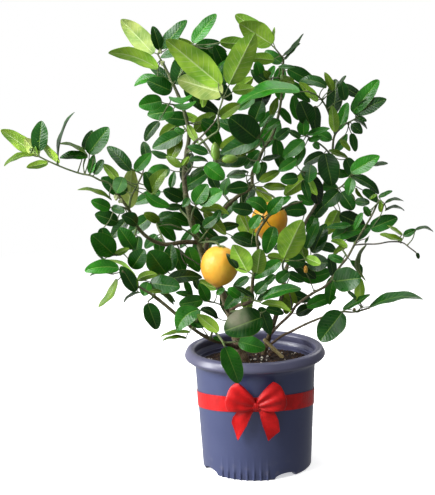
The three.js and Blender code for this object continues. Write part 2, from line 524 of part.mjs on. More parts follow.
// Points spread over a blade and its stalk.
function leafSamples(frame, root) {
  const rows = Math.max(4, Math.ceil(Math.hypot(...frame.step) / SAMPLE_STEP));
  const columns = Math.max(1, Math.ceil(frame.half / SAMPLE_STEP));
  const samples = [];
  for (let row = 1; row <= rows; row += 1) {
    for (let column = -columns; column <= columns; column += 1) {
      samples.push(sight(...onLeaf(frame, row / rows, (column / columns) * 0.85, 0)));
    }
  }
  for (const share of [0.5, 0.8]) {
    samples.push(sight(...root.map((value, axis) => (
      THREE.MathUtils.lerp(value, frame.base[axis], share)))));
  }
  return samples;
}

// ---------------------------------------------------------------- build
const object = new THREE.Group();

function addNode(name, geometry, colour, roughness = 0.6) {
  const material = new THREE.MeshStandardMaterial({ color: colour, roughness, metalness: 0 });
  const mesh = new THREE.Mesh(geometry, material);
  mesh.name = name;
  object.add(mesh);
  return mesh;
}

// Every finished piece of the plant, a little swollen: later pieces are cut back by it.
const kept = [];
const crowded = [];              // sample points of what is already there

function meets(a, b) {
  const p = a.boundingBox();
  const q = b.boundingBox();
  return [0, 1, 2].every((i) => p.min[i] < q.max[i] && q.min[i] < p.max[i]);
}

function trimmed(solid, owner) {
  let result = solid;
  for (const piece of kept) {
    if (piece.owner !== owner && meets(result, piece.solid)) result = result.subtract(piece.solid);
  }
  return mainPiece(result);
}

// ---- pot
function wallRadius(z) {
  const top = POT_HEIGHT - RIM_LIP - 10;
  return WALL_TOP_RADIUS - WALL_TAPER * (top - z) / top;
}

function makePot() {
  const floor = FOOT_HEIGHT;
  const shoulder = POT_HEIGHT - RIM_LIP - 8;
  const crest = RIM_RADIUS - 8;
  const profile = [
    [0, 0], [BOSS_RADIUS, 0], [BOSS_RADIUS + 2, floor],
    [wallRadius(0) - FOOT_WIDTH - 2, floor], [wallRadius(0) - FOOT_WIDTH, 0],
    [wallRadius(0), 0], [wallRadius(shoulder), shoulder],
    [wallRadius(shoulder) + 3.5, shoulder + 4], [RIM_RADIUS - 5, POT_HEIGHT - RIM_LIP + 1],
    [RIM_RADIUS - 1, POT_HEIGHT - RIM_LIP + 5], [RIM_RADIUS, POT_HEIGHT - 9],
    [RIM_RADIUS - 2, POT_HEIGHT - 3], [crest, POT_HEIGHT],
    [crest - 5, POT_HEIGHT - 2.5], [crest - 7, POT_HEIGHT - 9],
    [wallRadius(shoulder) - WALL + 2, shoulder + 6], [wallRadius(shoulder) - WALL, shoulder],
    [wallRadius(floor) - WALL - 1, floor + WALL + 3],
    [wallRadius(floor) - WALL - 6, floor + WALL], [0, floor + WALL],
  ];
  const body = new THREE.LatheGeometry(profile.map(([r, z]) => new THREE.Vector2(r, z)), 36);
  body.rotateX(Math.PI / 2);
  let solid = solidOf(body);
  for (let i = 0; i < FOOT_ARCHES; i += 1) {
    const angle = -Math.PI / 2 + FOOT_TURN + ((i + 0.5) / FOOT_ARCHES) * 2 * Math.PI;
    const arch = new THREE.CylinderGeometry(1, 1, 34, 12);
    arch.scale(ARCH_WIDTH / 2, 1, ARCH_HEIGHT);
    arch.translate(0, wallRadius(0) - FOOT_WIDTH / 2, 0);
    arch.rotateZ(angle - Math.PI / 2);
    solid = solid.subtract(solidOf(arch));
  }
  for (let i = 0; i < FOOT_RIBS; i += 1) {
    const angle = -Math.PI / 2 + FOOT_TURN + (i - (FOOT_RIBS - 1) / 2) * RIB_SPACING;
    const rib = new THREE.BoxGeometry(1.6, 1.4, 7);
    rib.translate(0, wallRadius(5) + 0.5, 4.4);
    rib.rotateZ(angle - Math.PI / 2);
    solid = solid.add(solidOf(rib));
  }
  return solid;
}

function makeSoil(stems) {
  const floor = FOOT_HEIGHT + WALL + GAP;
  const inner = (z) => wallRadius(z) - WALL - GAP;
  const profile = [
    [0, floor], [inner(floor) - 9, floor], [inner(24) - 2, 24],
    [inner(SOIL_TOP - 3) - 0.6, SOIL_TOP - 3], [inner(SOIL_TOP) - 8, SOIL_TOP - 0.5],
    [60, SOIL_TOP + 0.5], [30, SOIL_TOP + 1.5], [0, SOIL_TOP + 2],
  ];
  const body = new THREE.LatheGeometry(profile.map(([r, z]) => new THREE.Vector2(r, z)), 32);
  body.rotateX(Math.PI / 2);
  return stems.reduce((soil, stem) => soil.subtract(stem), solidOf(body));
}

// ---- plant: stems first, then fruit, then shoots
function keep(owner, solid) {
  kept.push({ owner, solid });
}

function crowd(owner, route) {
  for (const p of smoothed(route, SAMPLE_STEP)) crowded.push({ owner, point: sight(...p) });
}

const SIDES = { trunk: 9, stem_second: 8 };
const BARK = 0x6b4a2a;
const YOUNG_BARK = 0x5d6b2c;
const soilCuts = [];
const plant = new Map();         // node name: its solid and colour

for (const name of Object.keys(STEMS)) {
  const [root, rootRadius, endRadius] = STEMS[name];
  const route = routeOf(name);
  const sides = SIDES[name] ?? 5;
  const solid = trimmed(stemSolid(route, rootRadius, endRadius, sides), name);
  const swollen = stemSolid(route, rootRadius, endRadius, sides, GAP);
  keep(name, swollen);
  if (root === null) soilCuts.push(swollen);
  plant.set(name, { solid, colour: root === null ? BARK : YOUNG_BARK });
  crowd(name, route);
}

function fruitSolid(length, diameter, middle, tip, extra = 0) {
  const profile = [];
  const small = diameter < 20;
  const rows = small ? 6 : 10;
  for (let i = 0; i <= rows; i += 1) {
    const angle = Math.PI * (i / rows);
    const belly = Math.sin(angle) ** 0.92 * (diameter / 2 + extra);
    const height = -Math.cos(angle) * (length / 2 + extra);
    const nipple = i === rows ? length * 0.04 : 0;
    profile.push(new THREE.Vector2(i === 0 || i === rows ? 0 : belly, height + nipple));
  }
  const body = new THREE.LatheGeometry(profile, small ? 8 : 16);
  const place = new THREE.Quaternion().setFromUnitVectors(new THREE.Vector3(0, 1, 0), tip);
  body.applyQuaternion(place);
  body.translate(middle.x, middle.y, middle.z);
  return solidOf(body);
}

for (const [name, middle, diameter, length, tip, colour, way, stem, index] of FRUIT) {
  const centre = sight(...deepened([middle])[0]);
  const direction = new THREE.Vector3(tip[0], 0, tip[1]).normalize();
  const top = centre.clone().addScaledVector(direction, -length * 0.42);
  const stalkPoints = [top, ...deepened([...way]).map((p) => sight(...p)),
    sight(...routeOf(stem)[index])];
  const stalk = new THREE.CatmullRomCurve3(stalkPoints, false, 'centripetal').getPoints(5);
  const radius = Math.min(1.6, diameter * 0.1);
  const body = fruitSolid(length, diameter, centre, direction)
    .add(bentBar(stalk, radius * 1.3, radius, 6));
  plant.set(name, { solid: trimmed(body, name), colour });
  keep(name, fruitSolid(length, diameter, centre, direction, GAP)
    .add(bentBar(stalk, radius * 1.3 + GAP, radius + GAP, 6)));
  for (const point of stalk) crowded.push({ owner: name, point });
  crowded.push({ owner: name, point: centre, room: diameter * 0.5 + 3 });
}

function roomFor(samples, owner) {
  let least = Infinity;
  for (const other of crowded) {
    if (other.owner === owner) continue;
    const room = other.room ?? LEAF_ROOM;
    for (const sample of samples) {
      const spare = sample.distanceTo(other.point) - room;
      if (spare < least) least = spare;
    }
    if (least < -LEAF_ROOM) break;
  }
  return least;
}

// How far a blade's base moves in depth from its twig, and its tip from its base, each
// with its own least change first.
const SHIFTS = [0, -14, 14, -28, 28];
const LEANS = [0, 12, -12, 24, -24, 38, -38];
const CHOICES = SHIFTS.flatMap((shift) => LEANS.map((lean) => [shift, lean]))
  .sort((a, b) => Math.abs(a[0]) + Math.abs(a[1]) - Math.abs(b[0]) - Math.abs(b[1]));

// The twig's point nearest to a leaf's base, past the stretch inside the stem.
function nearestOnTwig(route, x, z) {
  const path = smoothed(route);
  let best = path[1];
  let least = Infinity;
  for (let i = 1; i < path.length; i += 1) {
    for (let s = i === 1 ? 5 : 0; s < 8; s += 1) {
      const share = (s + 0.43) / 8;
      const p = path[i].map((value, axis) => THREE.MathUtils.lerp(path[i - 1][axis], value, share));
      const away = Math.hypot(p[0] - x, p[1] - z);
      if (away < least) {
        least = away;
        best = p;
      }
    }
  }
  return best;
}

function placedLeaf(leaf, root, natural, owner) {
  let chosen = null;
  let most = -Infinity;
  for (const [shift, lean] of CHOICES) {
    const frame = leafFrame(leaf, root[2] + shift, natural + lean);
    const room = roomFor(leafSamples(frame, root), owner);
    if (room > most) {
      most = room;
      chosen = frame;
    }
    if (most > 0) break;
  }
  return chosen;
}

const GREENS = { D: 0x1d5a17, M: 0x2c7a1c, L: 0x8fb53a, P: 0xb3cc66, O: 0x6f7a22, K: 0x122a10 };

// Twigs first, so that no leaf crosses one.
for (const [name, stem, index, radius, way, leaves] of SHOOTS) {
  const route = [routeOf(stem)[index], ...deepened(way)];
  const twig = trimmed(stemSolid(route, radius, radius * 0.75, 4), name);
  if (plant.has(name)) plant.get(name).solid = plant.get(name).solid.add(twig);
  else plant.set(name, { solid: twig, colour: GREENS[leaves[0][5]] });
  keep(name, stemSolid(route, radius, radius * 0.75, 4, GAP));
  crowd(name, route);
}

function slight([x0, z0, x1, z1, seen]) {
  return seen * Math.hypot(x1 - x0, z1 - z0) < SLIGHT_LEAF;
}

SHOOTS.forEach(([name, stem, index, , way, leaves], number) => {
  const route = [routeOf(stem)[index], ...deepened(way)];
  const node = plant.get(name);
  const placed = leaves.filter((leaf) => !slight(leaf)).map((leaf, i) => {
    const root = nearestOnTwig(route, leaf[0], leaf[1]);
    const drawn = Math.hypot(leaf[2] - leaf[0], leaf[3] - leaf[1]);
    const natural = 0.3 * drawn * Math.sin(2.4 * i + number);
    return [placedLeaf(leaf, root, natural, name), root];
  });
  for (const [frame, root] of placed) {
    node.solid = node.solid.add(trimmed(leafSolid(frame, root), name));
  }
  node.solid = mainPiece(node.solid);
  for (const [frame, root] of placed) {
    keep(name, leafSolid(frame, root, GAP));
    for (const point of leafSamples(frame, root)) crowded.push({ owner: name, point });
  }
});

for (const [name, { solid, colour }] of plant) addNode(name, geometryOf(solid), colour);

// ---- pot, soil, cut stem
const cutStem = stemSolid([[17, 206, 34], [46, 176, 26]], 3, 3, 8);
addNode('cut_stem', geometryOf(trimmed(cutStem, 'cut_stem')), 0x8a7a45, 0.8);
soilCuts.push(stemSolid([[17, 206, 34], [46, 176, 26]], 3, 3, 8, GAP));
addNode('soil', geometryOf(makeSoil(soilCuts)), 0x2a1c14, 0.95);
addNode('pot', geometryOf(makePot()), 0x4a5584, 0.45);

// ---- ribbon and bow
function makeBand() {
  const low = -RIBBON_WIDTH / 2;
  const high = RIBBON_WIDTH / 2;
  const section = [[0, low], [RIBBON_THICK, low], [RIBBON_THICK, high], [0, high], [0, low]];
  const points = section.map(([out, up]) => new THREE.Vector2(WALL_TOP_RADIUS + out, up));
  const ring = new THREE.LatheGeometry(points, 48);
  ring.rotateX(Math.PI / 2);
  return reshaped(ring, (p) => {
    const radius = Math.hypot(p.x, p.y);
    const height = RIBBON_HEIGHT + p.z - (p.y / radius) * RIBBON_TILT;
    const snug = (wallRadius(height) + GAP + radius - WALL_TOP_RADIUS) / radius;
    return new THREE.Vector3(p.x * snug, p.y * snug, height);
  });
}

const BOW_FRONT = -(wallRadius(BOW_HEIGHT) + RIBBON_THICK + 3 * GAP);

function loopShape() {
  const outline = (inset) => [
    new THREE.Vector2(inset * 2, 0),
    new THREE.Vector2(BOW_LOOP_LENGTH * 0.35, -BOW_LOOP_DEPTH * 0.36 + inset),
    new THREE.Vector2(BOW_LOOP_LENGTH * 0.75, -BOW_LOOP_DEPTH * 0.5 + inset),
    new THREE.Vector2(BOW_LOOP_LENGTH - inset, 0),
    new THREE.Vector2(BOW_LOOP_LENGTH * 0.75, BOW_LOOP_DEPTH * 0.5 - inset),
    new THREE.Vector2(BOW_LOOP_LENGTH * 0.35, BOW_LOOP_DEPTH * 0.36 - inset),
  ];
  const shape = new THREE.Shape();
  shape.setFromPoints(new THREE.SplineCurve([...outline(0), outline(0)[0]]).getPoints(16).slice(0, -1));
  const hole = new THREE.Path();
  hole.setFromPoints(new THREE.SplineCurve([...outline(1.6), outline(1.6)[0]]).getPoints(16).slice(0, -1));
  shape.holes.push(hole);
  return shape;
}

function makeLoop(handed) {
  const loop = new THREE.ExtrudeGeometry(loopShape(), { depth: 1, bevelEnabled: false });
  reshaped(loop, (p) => {
    const width = THREE.MathUtils.lerp(BOW_PINCH, BOW_WIDTH, Math.min(1, p.x / BOW_LOOP_LENGTH) ** 0.8);
    return new THREE.Vector3(p.x, p.y, (p.z - 0.5) * width);
  });
  const out = new THREE.Vector3(handed * Math.cos(BOW_LOOP_RISE), 0, Math.sin(BOW_LOOP_RISE));
  const front = new THREE.Vector3(0, -1, 0);
  const across = new THREE.Vector3().crossVectors(out, front);
  loop.applyMatrix4(new THREE.Matrix4().makeBasis(out, front, across));
  const start = KNOT_WIDTH / 2 + GAP - 1;
  loop.translate(handed * start, BOW_FRONT - BOW_LOOP_DEPTH / 2 - 0.5, BOW_HEIGHT + 2);
  return loop;
}

function makeTail(handed, slant) {
  const shape = new THREE.Shape();
  const half = RIBBON_WIDTH / 2;
  shape.moveTo(-half * 0.45, 0);
  shape.lineTo(half * 0.45, 0);
  shape.lineTo(half, -TAIL_LENGTH * 0.45);
  shape.lineTo(half, -TAIL_LENGTH + (handed > 0 ? 8 : 0));
  shape.lineTo(-half, -TAIL_LENGTH + (handed > 0 ? 0 : 16));
  shape.lineTo(-half, -TAIL_LENGTH * 0.45);
  shape.closePath();
  const tail = new THREE.ExtrudeGeometry(shape, { depth: RIBBON_THICK + 0.4, bevelEnabled: false });
  tail.rotateX(Math.PI / 2);
  tail.rotateY(-handed * slant);
  tail.translate(handed * (RIBBON_WIDTH * 0.3 + 4), BOW_FRONT - 1.5, BOW_HEIGHT - KNOT_HEIGHT / 2 - 1);
  return tail;
}

function makeKnot() {
  const knot = new THREE.SphereGeometry(1, 14, 10);
  return reshaped(knot, (p) => {
    const square = (value) => Math.sign(value) * Math.abs(value) ** 0.7;
    return new THREE.Vector3(
      square(p.x) * KNOT_WIDTH * 0.5,
      BOW_FRONT - KNOT_DEPTH / 2 - 0.2 - square(p.z) * KNOT_DEPTH * 0.5,
      BOW_HEIGHT + square(p.y) * KNOT_HEIGHT * 0.5,
    );
  });
}

const SATIN = 0xc8101a;
const TAIL_SLANT = 0.42;
addNode('ribbon_band', makeBand(), SATIN, 0.4);
const knot = solidOf(makeKnot());
addNode('bow_knot', geometryOf(knot), SATIN, 0.4);
const knotCut = solidOf(makeKnot().scale(1 + 2 * GAP / KNOT_WIDTH, 1, 1 + 2 * GAP / KNOT_HEIGHT));
for (const [name, handed] of [['left', -1], ['right', 1]]) {
  addNode(`bow_loop_${name}`, geometryOf(mainPiece(solidOf(makeLoop(handed)).subtract(knotCut))), SATIN, 0.4);
  addNode(`bow_tail_${name}`, geometryOf(solidOf(makeTail(handed, TAIL_SLANT))), SATIN, 0.4);
}

export default object;
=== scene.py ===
"""A young lemon tree in a plastic nursery pot, tied with a satin ribbon and a bow.

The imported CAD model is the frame. Each node of the plant is replaced by a finer mesh that
grows along the same routes, with every leaf where the CAD leaf is; the pot, the soil, the
fruit and the ribbon are replaced by finer forms of the same size.
"""
import math

import bmesh
import bpy
import numpy as np
from mathutils import Matrix, Quaternion, Vector, noise


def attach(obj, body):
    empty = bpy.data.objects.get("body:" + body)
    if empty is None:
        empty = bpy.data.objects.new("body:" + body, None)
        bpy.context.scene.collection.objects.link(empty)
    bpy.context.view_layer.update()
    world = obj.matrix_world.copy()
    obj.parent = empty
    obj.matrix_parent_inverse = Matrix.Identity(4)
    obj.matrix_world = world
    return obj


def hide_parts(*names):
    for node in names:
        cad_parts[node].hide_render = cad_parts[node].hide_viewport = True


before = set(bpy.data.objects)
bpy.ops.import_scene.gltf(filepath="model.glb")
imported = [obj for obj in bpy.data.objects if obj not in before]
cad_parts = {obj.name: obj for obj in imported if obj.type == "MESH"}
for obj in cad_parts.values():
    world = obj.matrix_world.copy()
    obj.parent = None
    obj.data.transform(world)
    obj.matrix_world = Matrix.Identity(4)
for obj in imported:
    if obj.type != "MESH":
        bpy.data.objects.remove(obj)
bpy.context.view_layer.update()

MM = 0.001                       # the tables below are in millimetres
rng = np.random.default_rng(7)

# ---------------------------------------------------------------- sizes, in millimetres
POT_HEIGHT = 197
RIM_RADIUS = 114
RIM_LIP = 17
RIM_OVERHANG = 16.5
WALL = 2.4
WALL_TAPER = 8.5
FOOT_HEIGHT = 9
FOOT_WIDTH = 9
FOOT_ARCHES = 4
FOOT_TURN = math.radians(-14)    # the front foot's middle, to the right of straight ahead
ARCH_WIDTH = 40
ARCH_HEIGHT = 7.5
FOOT_RIBS = 8
RIB_SPACING = math.radians(7)
SOIL_BELOW_RIM = 28
STEM_IN_SOIL = 26
RIBBON_WIDTH = 26
RIBBON_THICK = 0.5
RIBBON_HEIGHT = 113              # middle of the ribbon above the ground, at the pot's sides
RIBBON_TILT = 15                 # how much higher it runs at the front, and lower at the back
BOW_HEIGHT = RIBBON_HEIGHT + RIBBON_TILT
BOW_LOOP_LENGTH = 43
BOW_LOOP_DEPTH = 17
BOW_LOOP_RISE = 0.42
BOW_WIDTH = 42                   # the bow's ribbon where a loop folds back
BOW_PINCH = 11                   # and where the knot gathers it
KNOT_WIDTH = 13
KNOT_HEIGHT = 13
KNOT_DEPTH = 9
TRUNK_RADIUS = 7.5
LEMON_DIAMETER = 58
LEMON_LENGTH = 62
LEAF_FULLEST = 0.58              # widest a blade grows, as a share of its length
LEAF_SLIMMEST = 0.42
LEAF_FOLD = 0.16                 # how far the blade's halves fold up about the midrib
LEAF_ARCH = 0.07
LEAF_THICK = 0.45
CROWN_DEPTH = 1.4
SLIGHT_LEAF = 420                # a leaf whose width times length is less isn't in the CAD
LEAF_ROOM = 6
SAMPLE_STEP = 8
BAR_STEP = 20
FINE_STEP = 4.0                  # between the rings of a stem's finer mesh

# The crown is set out as it is seen from the eye, straight at the front: a point has its
# x and z on the upright plane through the pot's axis, and its depth behind that plane.
EYE_DISTANCE = 1840
EYE_HEIGHT = 680
DRAWN_SOIL = 169
SOIL_TOP = POT_HEIGHT - SOIL_BELOW_RIM
WALL_TOP_RADIUS = RIM_RADIUS - RIM_OVERHANG
LIFT = SOIL_TOP - DRAWN_SOIL
OVER_RIM = -(RIM_RADIUS + 9)

STEMS = {
    "trunk": [None, TRUNK_RADIUS, 4.4, [
    [-14, DRAWN_SOIL - STEM_IN_SOIL, 0], [-17, 170, 0], [-25, 194, 2], [-33, 222, 6],
    [-40, 255, 8], [-50, 285, 8], [-64, 315, 6], [-77, 342, 4], [-86, 370, 2],
    [-97, 405, 0], [-104, 446, 0]]],
    "stem_second": [None, 4.8, 2.8, [
    [9, DRAWN_SOIL - STEM_IN_SOIL, 30], [12, 170, 30], [17, 192, 30], [24, 214, 28],
    [34, 240, 22], [44, 272, 14], [49, 300, 6], [54, 325, 0]]],
    "limb_leader": [["trunk", 10], 4.2, 2.2, [
    [-106, 474, 4], [-101, 513, 8], [-96, 545, 12], [-104, 585, 18], [-118, 622, 24],
    [-133, 655, 28]]],
    "limb_left": [["trunk", 8], 3.8, 2.2, [
    [-110, 371, -8], [-140, 368, -18], [-165, 378, -26], [-184, 398, -32],
    [-196, 425, -36], [-214, 452, -40]]],
    "limb_low_left": [["trunk", 2], 3.6, 1.8, [
    [-50, 203, -22], [-72, 210, -40], [-97, 226, -54], [-125, 252, -64],
    [-160, 283, -68], [-186, 300, -70]]],
    "limb_centre": [["trunk", 7], 3.6, 1.8, [
    [-68, 385, 24], [-55, 408, 38], [-40, 427, 44], [-20, 444, 46], [0, 457, 46],
    [3, 480, 44], [13, 500, 42], [22, 519, 42], [33, 533, 42], [43, 560, 44],
    [50, 592, 46], [53, 625, 48], [55, 656, 50]]],
    "limb_front": [["trunk", 4], 3.2, 1.6, [
    [-28, 264, -14], [-12, 268, -40], [-3, 274, -62], [-2, 290, -74], [0, 312, -78],
    [5, 335, -74], [9, 357, -64], [8, 380, -56], [20, 401, -50], [30, 412, -46],
    [48, 421, -38], [64, 428, -30], [80, 432, -22]]],
    "limb_right": [["stem_second", 3], 2.6, 1.4, [
    [38, 229, 18], [60, 250, 6], [68, 262, 2], [80, 272, -4], [98, 284, -12],
    [115, 293, -18], [126, 304, -22], [139, 324, -26], [152, 340, -28],
    [163, 360, -28], [176, 382, -26], [190, 405, -22], [201, 428, -18]]],
    "limb_low_right": [["stem_second", 2], 2.3, 1.4, [
    [45, 213, 14], [60, 220, 2], [80, 230, -14], [94, 236, -26], [118, 245, -40],
    [143, 251, -50], [161, 250, -56], [186, 256, -62]]],
    "limb_back_right": [["stem_second", 7], 2.8, 1.7, [
    [64, 352, 18], [78, 382, 38], [88, 403, 52], [102, 425, 64], [111, 442, 70],
    [120, 470, 74], [129, 503, 76], [134, 537, 74], [150, 553, 70]]],
    "limb_fruit": [["limb_leader", 2], 2.3, 1.5, [
    [-80, 536, -14], [-69, 524, -28], [-61, 510, -38], [-55, 499, -42]]],
}

